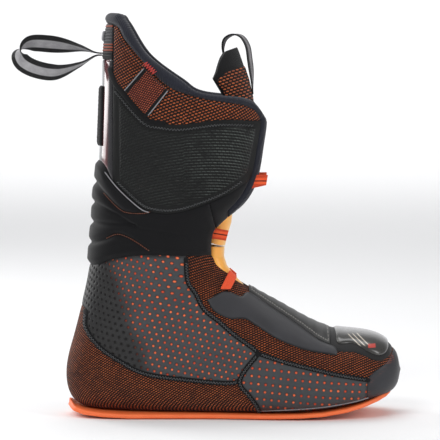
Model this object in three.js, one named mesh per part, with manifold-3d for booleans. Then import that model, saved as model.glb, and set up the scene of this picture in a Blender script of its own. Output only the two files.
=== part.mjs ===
// Inner boot (liner) of an alpine touring ski boot, right foot, in millimetres.
// +X points to the toe, +Z up, -Y to the outer (lateral) side of the foot.
// The origin is under the middle of the boot, on the surface that it stands on.
import * as THREE from "three";
import { mergeVertices } from "three/addons/utils/BufferGeometryUtils.js";
import Module from "manifold-3d";

const wasm = await Module();
wasm.setup();

// Overall sizes. Outlines are drawn at the design sizes and stretched to these.
const footLength = 296;
const shaftHeight = 353;
const ballWidth = 104;
const cuffWidth = 116;
const design = { footLength: 296, shaftHeight: 353, ballWidth: 104, cuffWidth: 116 };

// Layers of the wall, from the outer skin inwards, and what is bonded on it.
const clearance = 0.3;
const skinThickness = 0.9;
const foamThickness = 7;
const bindingThickness = 10.2;
const overlayThickness = 0.9;
const bumperThickness = 2;
const stripThickness = 2.4;
const footbedThickness = 3.8;
const seamWidth = 0.6;
const foldGap = 0.9;

// The front slot between the wings, and the bound edge beside it.
const slotHalfWidth = 13;
const boundEdgeWidth = 13;
const throatHalfWidth = 17.5;

// The tongue: a hard shell outside and a soft lining inside.
const tongueShellThickness = 2.2;
const tongueLiningThickness = 5;
const tongueLayerGap = 0.6;

// The outsole, and the webbing of the pull loop, the tongue loop and the lace loops.
const soleHeight = 5.2;
const pullLoopWidth = 20;
const pullLoopThickness = 1.2;
const tongueLoopWidth = 15;
const tongueLoopThickness = 1.4;
const laceLoopThickness = 1.6;
const hookStripWidth = 44;
const badgeWidth = 26;

// Grid of the boot's surface: points round each half of a section.
const halfPoints = 10;
const farAway = 400;

const stretchX = footLength / design.footLength;
const stretchZ = shaftHeight / design.shaftHeight;
const footStretchY = ballWidth / design.ballWidth;
const cuffStretchY = cuffWidth / design.cuffWidth;

// A point of the side view, stretched to the boot's overall sizes.
function side([x, z]) {
  return [x * stretchX, z * stretchZ];
}

// The sections of the boot's outer surface, from the toe to the rim. Each lies in a plane across
// the side view: top or front point, sole or back point, half width, roundness of the front and
// of the back half (2 is an ellipse, more is squarer), and the shift towards the big toe.
const sections = [
  { top: [169, 44.5], sole: [169, 33.5], half: 10, front: 2, back: 2, shift: 9 },
  { top: [166.5, 54], sole: [166.5, 26], half: 22, front: 2.2, back: 2.3, shift: 8.5 },
  { top: [159.5, 62.5], sole: [159.5, 20], half: 33, front: 2.3, back: 2.8, shift: 8 },
  { top: [146.5, 70], sole: [145, 15], half: 42, front: 2.3, back: 3.4, shift: 7 },
  { top: [125.5, 73.5], sole: [122, 10], half: 49, front: 2.3, back: 4, shift: 5.5 },
  { top: [105, 77], sole: [99.5, 7], half: 52, front: 2.2, back: 4.4, shift: 3.5 },
  { top: [83, 87], sole: [76, 5], half: 51, front: 2.1, back: 4.4, shift: 2 },
  { top: [63, 98.5], sole: [50, 4.5], half: 47, front: 2.1, back: 4.4, shift: 1 },
  { top: [47.5, 107], sole: [24, 4.5], half: 43.5, front: 2.1, back: 4.4, shift: 0 },
  { top: [32.5, 116.5], sole: [-6.5, 4.5], half: 41, front: 2.1, back: 4.2, shift: 0 },
  { top: [22, 126], sole: [-37, 4.5], half: 39.5, front: 2.1, back: 4, shift: 0 },
  { top: [16, 133], sole: [-67.5, 5.5], half: 38.5, front: 2.1, back: 3.6, shift: 0 },
  { top: [12.5, 138.5], sole: [-96, 6.5], half: 38, front: 2.1, back: 3.1, shift: 0 },
  { top: [11.5, 142.5], sole: [-118.5, 15], half: 38, front: 2.1, back: 2.6, shift: 0 },
  { top: [11.5, 146.5], sole: [-124.5, 41], half: 39, front: 2.1, back: 2.4, shift: 0 },
  { top: [11.5, 150.5], sole: [-118.5, 68.5], half: 40, front: 2.1, back: 2.3, shift: 0 },
  { top: [12.5, 155], sole: [-112, 93], half: 41, front: 2.1, back: 2.3, shift: 0 },
  { top: [14.5, 161], sole: [-106.5, 115.5], half: 42, front: 2.1, back: 2.3, shift: 0 },
  { top: [18, 169], sole: [-103, 136.5], half: 43.5, front: 2.1, back: 2.3, shift: 0 },
  { top: [24, 178.5], sole: [-101.5, 155.5], half: 45, front: 2.1, back: 2.3, shift: 0 },
  { top: [33.5, 188.5], sole: [-99.5, 175], half: 47, front: 2.2, back: 2.3, shift: 0 },
  { top: [41, 199.5], sole: [-98.5, 194], half: 49.5, front: 2.2, back: 2.3, shift: 0 },
  { top: [45, 212], sole: [-96, 215], half: 52, front: 2.3, back: 2.4, shift: 0 },
  { top: [47.5, 226], sole: [-94.5, 236], half: 54, front: 2.3, back: 2.4, shift: 0 },
  { top: [49.5, 240.5], sole: [-93.5, 258.5], half: 56, front: 2.3, back: 2.4, shift: 0 },
  { top: [51.5, 255.5], sole: [-92.5, 286], half: 57.5, front: 2.3, back: 2.4, shift: 0 },
  { top: [51.5, 268], sole: [-91.5, 315], half: 58, front: 2.3, back: 2.4, shift: 0 },
  { top: [51, 281], sole: [-88.5, 341], half: 58, front: 2.3, back: 2.4, shift: 0 },
  { top: [49, 295], sole: [-82, 368], half: 58, front: 2.3, back: 2.4, shift: 0 },
];
const toeTip = { point: [170.5, 39], shift: 9 };
const firstCuffSection = 18;

// Lines of the side view that the pieces share. Each seam runs along one of them.
const ankleSeam = [[-140, 133], [-99.5, 134], [-85, 139], [-72, 142], [-49, 144], [4, 142]];
const throatLow = [[4, 142], [8.5, 135], [18, 126], [25, 120], [38.5, 112]];
const throatHigh = [[4, 142], [4, 154], [5.5, 162], [10.5, 168], [17.5, 174], [28.5, 182], [34.5, 187]];
const flexLine = [[-140, 190], [-99, 188], [-78, 165], [-50, 151], [-20, 154], [5, 162.5]];
const panelLow = [[-140, 226], [-95.5, 225.5], [-82, 208], [-70, 196], [-58, 185.5], [-50, 182],
  [-35, 180], [-18, 182.5], [7.5, 191.5], [22, 199], [36.5, 209], [43, 215], [90, 250]];
const panelTop = [[-79.5, 292.5], [-72, 283.5], [-52.5, 262], [-40.5, 258.5], [-22, 257],
  [11, 261], [47.5, 259.5], [90, 258]];
const bindingLow = [[-140, 344], [-84, 343], [-71, 329], [-55, 310.5], [-32.5, 289], [-5, 279.5],
  [11, 276.5], [30, 273.5], [43, 267.5], [48, 258], [62, 228]];
const bindingTop = [[-140, 353], [-83, 353], [-73, 347], [-52.5, 317.5], [-22, 295], [-5, 284.5],
  [33.5, 279.5], [44.5, 272], [52, 261], [70, 233]];
const foldLine = [[10.5, 155], [-33, 327]];
const heelTop = [[-140, 97], [-109, 97], [-106, 80], [-94.5, 64.5], [-76, 51.5], [-52, 40],
  [-3, 34], [20.5, 33], [28, 35.5]];
const midfoot = [[44, 59], [28, 35.5], [37, 21], [44, 9.5], [44, -20]];
const ankleFront = [[-18.5, 143.4], [-18.5, 137.5], [-17, 120], [-10, 109.5], [-3, 96.5],
  [10, 86], [23, 75], [39.5, 63.5], [44, 59]];
const forefootTop = [[44, 59], [66.5, 52], [91, 46], [115.5, 40], [139.5, 35]];
const toeCapEdge = [[139, -20], [139, 16.5], [139.5, 35], [145.5, 42], [157, 49.5], [164, 58], [185, 80]];
const spineSeam = [[-82, 180], [-82, 360]];
const tabLow = [[-140, 312.5], [-82, 312.5]];

// Where the pull loop is sewn on: the middle of its two ends, which it turns about.
const pullLoopRoot = [-94.4, 317];

// Vectors and meshes.

function solidFrom(points, triangles) {
  const vertProperties = new Float32Array(points.flatMap((p) => [p.x, p.y, p.z]));
  const made = new wasm.Manifold(
    new wasm.Mesh({ numProp: 3, vertProperties, triVerts: new Uint32Array(triangles) }),
  );
  return made.volume() < 0 ? solidFrom(points, turned(triangles)) : made;
}

function turned(triangles) {
  const back = triangles.slice();
  for (let i = 0; i < back.length; i += 3) {
    [back[i + 1], back[i + 2]] = [back[i + 2], back[i + 1]];
  }
  return back;
}

function solidOfGeometry(geometry) {
  geometry.deleteAttribute("normal");
  geometry.deleteAttribute("uv");
  const merged = mergeVertices(geometry, 1e-4);
  const place = merged.attributes.position;
  const points = Array.from({ length: place.count }, (_, i) => (
    new THREE.Vector3().fromBufferAttribute(place, i)
  ));
  return solidFrom(points, Array.from(merged.index.array));
}

// The triangles between two rows of points that start at the numbers a and b.
function strip(a, b, count, closed = true) {
  const triangles = [];
  const last = closed ? count : count - 1;
  for (let j = 0; j < last; j++) {
    const next = (j + 1) % count;
    triangles.push(a + j, a + next, b + j, a + next, b + next, b + j);
  }
  return triangles;
}

// A closed body through rings of as many points each, with flat ends.
function loft(rings) {
  const count = rings[0].length;
  const points = rings.flat();
  const triangles = [];
  for (let i = 0; i + 1 < rings.length; i++) triangles.push(...strip(i * count, (i + 1) * count, count));
  for (let j = 1; j + 1 < count; j++) {
    triangles.push(0, j + 1, j);
    const end = points.length - count;
    triangles.push(end, end + j, end + j + 1);
  }
  return solidFrom(points, triangles);
}

// A side-view outline carried across the boot from one Y to another.
function prism(outline, fromY = -farAway, toY = farAway) {
  const shape = new THREE.Shape(outline.map((p) => new THREE.Vector2(...side(p))));
  const geometry = new THREE.ExtrudeGeometry(shape, { depth: toY - fromY, bevelEnabled: false });
  geometry.rotateX(Math.PI / 2);
  geometry.translate(0, toY, 0);
  return solidOfGeometry(geometry);
}

// A narrow cut along a side-view line, as wide as a seam.
function knife(line, width = seamWidth) {
  const points = line.map((p) => new THREE.Vector2(...side(p)));
  const edge = (sign) => points.map((p, i) => {
    const before = points[Math.max(i - 1, 0)];
    const after = points[Math.min(i + 1, points.length - 1)];
    const along = after.clone().sub(before).normalize();
    return p.clone().add(new THREE.Vector2(-along.y, along.x).multiplyScalar((sign * width) / 2));
  });
  const shape = new THREE.Shape([...edge(1), ...edge(-1).reverse()]);
  const geometry = new THREE.ExtrudeGeometry(shape, { depth: 2 * farAway, bevelEnabled: false });
  geometry.rotateX(Math.PI / 2);
  geometry.translate(0, farAway, 0);
  return solidOfGeometry(geometry);
}

function slab(fromY, toY) {
  const square = [[-farAway, -farAway], [farAway, -farAway], [farAway, farAway], [-farAway, farAway]];
  return prism(square, fromY, toY);
}

function largest(solid) {
  return solid.decompose().sort((a, b) => b.volume() - a.volume())[0];
}

// The boot's surface.

// Half a squared ellipse from the back point to the front point, evenly spaced along its length.
function halfSection({ front, back }) {
  const fine = [];
  for (let k = 0; k <= 200; k++) {
    const angle = (Math.PI * k) / 200;
    const power = 2 / (angle < Math.PI / 2 ? back : front);
    fine.push(new THREE.Vector2(
      Math.sign(Math.cos(angle)) * Math.abs(Math.cos(angle)) ** power,
      Math.sin(angle) ** power,
    ));
  }
  return fine;
}

function ring(section, index) {
  const top = new THREE.Vector2(...side(section.top));
  const sole = new THREE.Vector2(...side(section.sole));
  const middle = top.clone().add(sole).multiplyScalar(0.5);
  const along = sole.clone().sub(top).multiplyScalar(0.5);
  const cuffShare = THREE.MathUtils.clamp((index - 12) / (firstCuffSection + 4 - 12), 0, 1);
  const half = section.half * THREE.MathUtils.lerp(footStretchY, cuffStretchY, cuffShare);
  const shape = halfSection(section).map((p) => new THREE.Vector2(p.x * along.length(), p.y * half));
  const run = [0];
  for (let k = 1; k < shape.length; k++) run.push(run[k - 1] + shape[k].distanceTo(shape[k - 1]));
  const halfRing = [];
  for (let j = 0; j <= halfPoints; j++) {
    const target = (run.at(-1) * j) / halfPoints;
    const k = Math.max(1, run.findIndex((r) => r >= target - 1e-9));
    const share = (target - run[k - 1]) / (run[k] - run[k - 1]);
    halfRing.push(shape[k - 1].clone().lerp(shape[k], share));
  }
  const unit = along.clone().normalize();
  const place = (p, sign) => new THREE.Vector3(
    middle.x + unit.x * p.x,
    sign * p.y + section.shift * footStretchY,
    middle.y + unit.y * p.x,
  );
  const outer = halfRing.map((p) => place(p, -1));
  const inner = halfRing.slice(1, -1).reverse().map((p) => place(p, 1));
  return { points: [...outer, ...inner], middle: new THREE.Vector3(middle.x, section.shift, middle.y) };
}

const rings = sections.map(ring);
const ringCount = 2 * halfPoints;
const tip = new THREE.Vector3(side(toeTip.point)[0], toeTip.shift * footStretchY, side(toeTip.point)[1]);

// Outward directions at the grid's points, from the neighbours on either side.
const outward = rings.map(({ points, middle }, i) => points.map((p, j) => {
  const before = i ? rings[i - 1].points[j] : tip;
  const after = rings[Math.min(i + 1, rings.length - 1)].points[j];
  const round = points[(j + 1) % ringCount].clone().sub(points[(j + ringCount - 1) % ringCount]);
  const normal = after.clone().sub(before).cross(round).normalize();
  return normal.dot(p.clone().sub(middle)) < 0 ? normal.negate() : normal;
}));

function lifted(lift) {
  const points = rings.flatMap(({ points: row }, i) => (
    row.map((p, j) => p.clone().addScaledVector(outward[i][j], lift))
  ));
  return [tip.clone().add(new THREE.Vector3(lift, 0, 0)), ...points];
}

// The triangles of one lifted surface, whose points start at a number.
function surfaceTriangles(start) {
  const triangles = [];
  for (let j = 0; j < ringCount; j++) {
    triangles.push(start, start + 1 + j, start + 1 + ((j + 1) % ringCount));
  }
  for (let i = 0; i + 1 < rings.length; i++) {
    const row = start + 1 + i * ringCount;
    triangles.push(...turned(strip(row, row + ringCount, ringCount)));
  }
  return triangles;
}

// The wall between two lifts over the whole boot, open at the rim.
const walls = new Map();
function wall(from, to) {
  const key = from + " " + to;
  if (!walls.has(key)) {
    const outer = lifted(to);
    const inner = lifted(from);
    const lastRow = outer.length - ringCount;
    walls.set(key, solidFrom([...outer, ...inner], [
      ...surfaceTriangles(0),
      ...turned(surfaceTriangles(outer.length)),
      ...turned(strip(lastRow, outer.length + lastRow, ringCount)),
    ]));
  }
  return walls.get(key);
}

// The whole boot as one solid, with its surface lifted.
function last(lift) {
  const points = lifted(lift);
  const lastRow = points.length - ringCount;
  const triangles = surfaceTriangles(0);
  for (let j = 1; j + 1 < ringCount; j++) triangles.push(lastRow, lastRow + j + 1, lastRow + j);
  return solidFrom(points, turned(triangles));
}

const skin = wall(-skinThickness, 0);
const foamOuter = -skinThickness - clearance;
const foamInner = foamOuter - foamThickness;
const foam = wall(foamInner, foamOuter);
const fullWall = wall(foamInner, 0);
const overlay = wall(clearance, clearance + overlayThickness);
const aroundBoot = last(clearance);
const lateral = slab(-farAway, -clearance);
const medial = slab(clearance, farAway);
const halves = [["lateral", lateral, -1], ["medial", medial, 1]];

// Regions of the side view.

const low = -60;
const high = 420;
const rear = -140;
const ahead = 220;
const ballJoint = 46;

const throatWindow = prism([...throatLow.slice().reverse(), ...throatHigh.slice(1), [60, 187], [60, 112]]);
const throatSlot = prism([[-30, 104], [32, 104], [38.5, 112], [60, 112], [60, 192], [-30, 192]],
  -throatHalfWidth, throatHalfWidth);
const throatOpening = throatWindow.add(throatSlot);
const underAnkle = prism([...ankleSeam, ...throatLow.slice(1), [38.5, high], [ahead, high],
  [ahead, low], [rear, low]]).subtract(throatOpening);
const overFlex = prism([...flexLine, [20, 163], [40, 180], [ahead, 180], [ahead, high], [rear, high]])
  .subtract(throatOpening);
const behindFold = prism([...foldLine, [-33, high], [rear, high], [rear, low], [12, low]]);
const aheadOfFold = prism([...foldLine, [-33, high], [ahead, high], [ahead, low], [12, low]]);
const abovePanelLow = prism([...panelLow, [90, high], [rear, high]]);
const belowPanelLow = prism([...panelLow, [90, low], [rear, low]]);
const abovePanelTop = prism([[-82, 312.5], ...panelTop, [90, high], [-82, high]]);
const belowPanelTop = prism([[-82, 312.5], ...panelTop, [90, low], [-82, low]]);
const belowBinding = prism([...bindingLow, [62, low], [rear, low]]);
const bindingBand = prism([...bindingLow, ...bindingTop.slice().reverse()]);
const belowRim = prism([...bindingTop, [70, low], [rear, low]]);
const aheadOfSpine = prism([[-82, low], [-82, high], [ahead, high], [ahead, low]]);
const behindSpine = prism([[-82, low], [-82, high], [rear, high], [rear, low]]);
const slot = slab(-slotHalfWidth, slotHalfWidth);
const boundEdge = slotHalfWidth + boundEdgeWidth;
const frontOfShaft = prism([[20, 150], [20, high], [90, high], [90, 150]]);
const edgeZone = slab(-boundEdge, boundEdge).intersect(frontOfShaft);

const cuts = {
  ankle: knife(ankleSeam),
  throat: knife([...throatLow.slice().reverse(), ...throatHigh.slice(1)]),
  flex: knife(flexLine),
  panelLow: knife(panelLow),
  panelTop: knife([[-82, 312.5], ...panelTop]),
  binding: knife(bindingLow),
  fold: knife(foldLine, foldGap),
  heel: knife(heelTop),
  midfoot: knife(midfoot),
  ankleFront: knife(ankleFront),
  forefoot: knife(forefootTop),
  toeCap: knife(toeCapEdge),
  spine: knife(spineSeam),
  tab: knife(tabLow),
};
const without = (solid, ...names) => names.reduce((left, name) => left.subtract(cuts[name]), solid);

// Pieces.

const boot = new THREE.Group();
const colours = {
  foam: [0x2a2a2c, 0.95, 0], mesh: [0x5a3420, 0.8, 0], perforated: [0x5f6469, 0.45, 0],
  satin: [0x4b4b50, 0.4, 0], gloss: [0x3a3a40, 0.2, 0], rubber: [0x2d2d35, 0.6, 0],
  orange: [0xff783c, 0.5, 0], yellow: [0xffbe5a, 0.4, 0], neoprene: [0x1c1c20, 0.9, 0],
  binding: [0x414452, 0.8, 0], embossed: [0x1c1e1c, 0.35, 0], webbing: [0x8a8a90, 0.6, 0],
  laceLoop: [0xfa5a32, 0.7, 0], footbed: [0x50505a, 0.9, 0], badge: [0x8c8c90, 0.35, 0],
};

function add(name, look, solid) {
  const { vertProperties, triVerts } = largest(solid).getMesh();
  const geometry = new THREE.BufferGeometry();
  geometry.setAttribute("position", new THREE.BufferAttribute(vertProperties, 3));
  geometry.setIndex(new THREE.BufferAttribute(triVerts, 1));
  const [color, roughness, metalness] = colours[look];
  const mesh = new THREE.Mesh(geometry, new THREE.MeshStandardMaterial({ color, roughness, metalness }));
  mesh.name = name;
  boot.add(mesh);
}

// Outsole: a thin cup under the foot, flat from the heel to the ball and turned up at both ends.
function outsole() {
  const profile = [
    [-121.5, 9, 10], [-117, 5, 20], [-108, 2.5, 28], [-92, 1, 33], [-70, 0, 35], [-35, 0, 34.5],
    [0, 0, 34.5], [27, 0, 36.5], [54, 0, 40.5], [80, 0.8, 44.5], [100, 2.2, 46], [120, 5.2, 44.5],
    [135, 9, 40], [148, 13.5, 32.5], [156, 17, 24], [160.5, 19.5, 15],
  ];
  const shiftAt = (x) => THREE.MathUtils.lerp(0, 8, THREE.MathUtils.clamp((x - 40) / 110, 0, 1));
  const bodies = profile.map(([x, bottom, half]) => {
    const [px, pz] = side([x, bottom]);
    const halfY = half * footStretchY;
    const y = shiftAt(x) * footStretchY;
    const corner = (share, up) => new THREE.Vector3(px, y + share * halfY, pz + up);
    const flank = [corner(-0.96, 0), corner(-1, 1.2), corner(-1, soleHeight)];
    return [...flank, corner(1, soleHeight), corner(1, 1.2), corner(0.96, 0)];
  });
  return loft(bodies).subtract(last(clearance));
}

add("outsole", "orange", outsole());
// The foot's foam is two pieces that butt behind the ball, the front one softer.
const foamJoint = [[ballJoint, low], [ballJoint, high]];
const footFoam = without(foam.intersect(underAnkle), "ankle").subtract(knife(foamJoint));
add("foot_foam", "foam", footFoam.intersect(prism([...foamJoint, [rear, high], [rear, low]])));
add("forefoot_foam", "foam", footFoam.intersect(prism([...foamJoint, [ahead, high], [ahead, low]])));
const footbedTray = [[rear, low], [rear, 40], [-100, 38], [-60, 28], [0, 22], [60, 20], [100, 24],
  [125, 29], [146, 33], [146, low]];
const footbedTop = foamInner - clearance;
add("footbed", "footbed", wall(footbedTop - footbedThickness, footbedTop).intersect(prism(footbedTray)));

const footSkin = without(skin.intersect(underAnkle), "ankle", "heel", "midfoot", "ankleFront",
  "forefoot", "toeCap");
const heelRegion = prism([...heelTop, ...midfoot.slice(2), [44, low], [rear, low]]);
const ankleRegion = prism([...heelTop, ...midfoot.slice(0, 1), ...ankleFront.slice().reverse(),
  [-49, 150], [rear, 150]]);
const forefootRegion = prism([...forefootTop, [139, 16.5], [139, low], [44, low],
  ...midfoot.slice(1, -1).reverse()]);
const capRegion = prism([...toeCapEdge, [ahead, 80], [ahead, low], [139, low]]);
const vampRegion = prism([...ankleFront, ...forefootTop.slice(1), ...toeCapEdge.slice(3),
  [185, high], [-18.5, high]]);

add("toe_cap", "rubber", footSkin.intersect(capRegion));
for (const [name, half] of halves) {
  add(name + "_heel_mesh", "mesh", footSkin.intersect(heelRegion).intersect(half));
  add(name + "_ankle_panel", "perforated", footSkin.intersect(ankleRegion).intersect(half));
  add(name + "_forefoot_panel", "perforated", footSkin.intersect(forefootRegion).intersect(half));
  add(name + "_vamp_mesh", "mesh", footSkin.intersect(vampRegion).intersect(half));
}

// Overlays bonded on the foot's skin.
const stitchLine = [[36, 109.5], [54.5, 97.5], [78.5, 82], [97, 69.5], [111, 63.5]];
const eyestayOutline = [[-0.5, 104.5], [14.5, 111.5], [29, 106.5], ...stitchLine, [112, 57.5], [103, 58.5],
  [85, 62], [62, 70.5], [42, 82.5], [32.5, 88], [18, 88.5], [5.5, 95]];
const instepOutline = [...stitchLine.slice(0, -1), [107, 65.5], [107, 125], [36, 125]];
const bumperOutline = [[112, 90], [112, 65.5], [127.5, 65.5], [139.5, 59], [148.5, 55.5],
  [158, 60], [160, 90]];
const footOverlay = overlay.intersect(underAnkle).subtract(knife(stitchLine)).subtract(cuts.throat);
for (const [name, half] of halves) {
  add(name + "_eyestay", "satin", footOverlay.intersect(prism(eyestayOutline)).intersect(half));
}
add("instep_cover", "satin", footOverlay.intersect(prism(instepOutline)));
add("toe_bumper", "gloss", wall(clearance, clearance + bumperThickness).intersect(prism(bumperOutline)));

// The cuff, behind the two fold lines.
const cuffSide = overFlex.intersect(behindFold);
add("cuff_foam", "foam", without(
  foam.intersect(cuffSide).intersect(belowBinding), "flex", "fold", "binding", "throat"));
const overAnkle = prism([...ankleSeam, [4, high], [rear, high]]).subtract(throatOpening);
const flexBelt = fullWall.intersect(overAnkle).intersect(prism([...flexLine, [5, low], [rear, low]]));
const upperBelt = skin.intersect(overAnkle).intersect(belowPanelLow);
add("ankle_band", "neoprene", without(
  without(flexBelt, "flex").add(upperBelt).intersect(behindFold), "ankle", "fold", "panelLow", "throat"));

const cuffSkin = without(skin.intersect(cuffSide).intersect(belowBinding), "fold", "binding",
  "panelLow", "panelTop", "spine", "throat");
const spineSkin = cuffSkin.intersect(behindSpine).intersect(abovePanelLow).subtract(cuts.tab);
add("spine_panel", "gloss", spineSkin.intersect(
  prism([[rear, 200], [rear, 312.5], [-82, 312.5], [-82, 200]])));
add("rear_tab", "mesh", spineSkin.intersect(prism([[rear, 312.5], [rear, high], [-82, high], [-82, 312.5]])));
for (const [name, half] of halves) {
  const panels = cuffSkin.intersect(aheadOfSpine).intersect(abovePanelLow).intersect(half);
  add(name + "_cuff_panel", "embossed", panels.intersect(belowPanelTop));
  add(name + "_collar_mesh", "mesh", panels.intersect(abovePanelTop));
}
const bindingWall = wall(foamInner - clearance, foamInner - clearance + bindingThickness);
add("collar_binding", "binding", without(
  bindingWall.intersect(bindingBand).intersect(behindFold), "fold", "binding"));
const patchOutline = [[-52.5, 306], [-32, 286], [-51, 262.5], [-71, 285.5]];
add("cuff_patch", "mesh", overlay.intersect(prism(patchOutline)).intersect(lateral)
  .subtract(cuts.binding));
const stripWall = wall(clearance, clearance + stripThickness);
function onSpine(bottom, top, width) {
  return stripWall.intersect(
    prism([[rear, bottom], [-80, bottom], [-80, top], [rear, top]], -width / 2, width / 2));
}
add("hook_strip", "rubber", onSpine(237.5, 289.5, hookStripWidth));
add("rear_badge", "badge", onSpine(328.5, 337, badgeWidth));

// The two wings, ahead of the fold lines, each with a bound top and front edge.
const wingRegion = overFlex.intersect(aheadOfFold).subtract(slot.intersect(frontOfShaft));
const wingFace = wingRegion.intersect(belowBinding).subtract(edgeZone);
for (const [name, half, sign] of halves) {
  const own = wingFace.intersect(half);
  const edgeCut = slab(sign * boundEdge - seamWidth / 2, sign * boundEdge + seamWidth / 2);
  add(name + "_wing_foam", "foam", without(foam.intersect(own), "fold", "binding", "throat")
    .subtract(edgeCut));
  const face = without(skin.intersect(own), "fold", "binding", "panelLow", "panelTop", "throat")
    .subtract(edgeCut);
  add(name + "_wing_panel", "embossed", face.intersect(abovePanelLow).intersect(belowPanelTop));
  add(name + "_wing_mesh", "mesh", face.intersect(abovePanelTop));
  add(name + "_wing_trim", "neoprene", face.intersect(belowPanelLow));
  const bound = wingRegion.intersect(belowRim).intersect(half);
  const edges = bound.intersect(bindingBand).add(bound.intersect(edgeZone));
  add(name + "_wing_binding", "binding", without(bindingWall.intersect(edges), "fold", "throat")
    .subtract(knife(bindingLow).subtract(edgeZone)));
}

// The tongue: a curled plate. Front line in the side view, half width and depth of the curl.
const tongueRows = [
  { at: [31.5, 115], half: 15, depth: 6 }, { at: [23, 124], half: 15, depth: 6 },
  { at: [17, 132], half: 15, depth: 6 }, { at: [14.5, 140], half: 15, depth: 7 },
  { at: [15, 148], half: 15, depth: 7 }, { at: [15.3, 149.4], half: 15, depth: 7 },
  { at: [18, 160], half: 15.5, depth: 8 }, { at: [21, 170], half: 16, depth: 8 },
  { at: [22, 180], half: 17.5, depth: 8 }, { at: [24, 190], half: 21, depth: 9 },
  { at: [31, 203], half: 25, depth: 11 }, { at: [35, 216], half: 28, depth: 12 },
  { at: [38, 232], half: 31, depth: 14 }, { at: [40, 249], half: 33, depth: 16 },
  { at: [40, 265], half: 34, depth: 18 }, { at: [38.5, 280], half: 35, depth: 21 },
  { at: [35, 295], half: 36, depth: 25 }, { at: [30, 310], half: 36, depth: 28 },
  { at: [25.5, 323], half: 34, depth: 29 },
];
const rootRows = [0, 4];
const shinRows = [5, tongueRows.length - 1];
const meshRows = [14, tongueRows.length - 1];
const tongueCurl = THREE.MathUtils.degToRad(72);
const tongueColumns = 8;
const tongueLine = tongueRows.map(({ at }) => new THREE.Vector2(...side(at)));
const tongueGrid = tongueRows.map(({ half, depth }, i) => {
  const before = tongueLine[Math.max(i - 1, 0)];
  const after = tongueLine[Math.min(i + 1, tongueLine.length - 1)];
  const along = after.clone().sub(before).normalize();
  const front = new THREE.Vector2(along.y, -along.x);
  const row = [];
  for (let j = 0; j <= tongueColumns; j++) {
    const angle = tongueCurl * ((2 * j) / tongueColumns - 1);
    const back = (-depth * (1 - Math.cos(angle))) / (1 - Math.cos(tongueCurl));
    const y = (half * cuffStretchY * Math.sin(angle)) / Math.sin(tongueCurl);
    row.push(new THREE.Vector3(tongueLine[i].x + front.x * back, y, tongueLine[i].y + front.y * back));
  }
  return row;
});
const tongueOutward = tongueGrid.map((row, i) => row.map((p, j) => {
  const above = tongueGrid[Math.min(i + 1, tongueGrid.length - 1)][j];
  const along = above.clone().sub(tongueGrid[Math.max(i - 1, 0)][j]);
  const across = row[Math.min(j + 1, tongueColumns)].clone().sub(row[Math.max(j - 1, 0)]);
  return across.cross(along).normalize();
}));

// A plate of the tongue between two lifts, over some of its rows.
function tonguePlate(from, to, [firstRow, lastRow]) {
  const loops = tongueGrid.slice(firstRow, lastRow + 1).map((row, i) => {
    const up = (lift) => row.map((p, j) => p.clone().addScaledVector(tongueOutward[i + firstRow][j], lift));
    return [...up(to), ...up(from).reverse()];
  });
  const count = loops[0].length;
  const points = loops.flat();
  const triangles = [];
  for (let i = 0; i + 1 < loops.length; i++) triangles.push(...strip(i * count, (i + 1) * count, count));
  const end = points.length - count;
  for (let j = 0; j < tongueColumns; j++) {
    const back = count - 1 - j;
    triangles.push(j, back, j + 1, j + 1, back, back - 1);
    triangles.push(end + j, end + j + 1, end + back, end + j + 1, end + back - 1, end + back);
  }
  return solidFrom(points, triangles);
}

const tongueArch = [[-60, 250], [-12, 270], [-5.5, 288.5], [0, 300], [11, 312], [21.5, 319],
  [32, 322.5], [60, 330], [60, high], [-60, high]];
const liningOuter = -tongueShellThickness - tongueLayerGap;
const liningInner = liningOuter - tongueLiningThickness;
const tongueMeshOuter = tongueLayerGap + overlayThickness;
add("tongue_base", "yellow", tonguePlate(liningInner, 0, rootRows));
add("tongue_shell", "yellow", tonguePlate(-tongueShellThickness, 0, shinRows).subtract(prism(tongueArch)));
add("tongue_lining", "foam", tonguePlate(liningInner, liningOuter, shinRows));
const tongueMeshOutline = [[-20, 262], [60, 262], [60, 318], [24, 318], [12, 309], [2, 297], [-3, 286]];
add("tongue_mesh", "mesh", tonguePlate(tongueLayerGap, tongueMeshOuter, meshRows)
  .intersect(prism(tongueMeshOutline)));

// Webbing.

// A band of webbing along a line of the side view. Its width turns from straight across the boot
// at both ends to a tilt in between.
function band(line, width, thickness, tilt, steps) {
  const curve = new THREE.CatmullRomCurve3(line.map((p) => {
    const [x, z] = side(p);
    return new THREE.Vector3(x, 0, z);
  }));
  const across = new THREE.Vector3(0, 1, 0);
  const tilted = new THREE.Vector3(...tilt).normalize();
  const loops = [];
  for (let i = 0; i <= steps; i++) {
    const share = i / steps;
    const turn = THREE.MathUtils.smoothstep(Math.min(share, 1 - share), 0, 0.3);
    const wide = across.clone().lerp(tilted, turn).normalize();
    const flat = curve.getTangent(share).cross(wide).normalize();
    const corner = (a, b) => curve.getPoint(share).addScaledVector(wide, (a * width) / 2)
      .addScaledVector(flat, (b * thickness) / 2);
    loops.push([corner(-1, -1), corner(1, -1), corner(1, 1), corner(-1, 1)]);
  }
  return loft(loops);
}

const [loopX, loopZ] = pullLoopRoot;
const strandOffset = 0.85;
const pullLoopLine = [[loopX + 2, loopZ + strandOffset], [loopX - 4, loopZ + 1.6], [-112, 322.5],
  [-139, 326], [-156, 326], [-164.7, 319], [-161.7, 310], [-149, 303.5], [-132, 301.5],
  [-112, 308], [loopX - 4, loopZ - 1.6], [loopX + 2, loopZ - strandOffset]];
const pullLoopTilt = [-10.4, 12, -12.2];
add("rear_pull_loop", "webbing", band(pullLoopLine, pullLoopWidth, pullLoopThickness, pullLoopTilt, 26));

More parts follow.
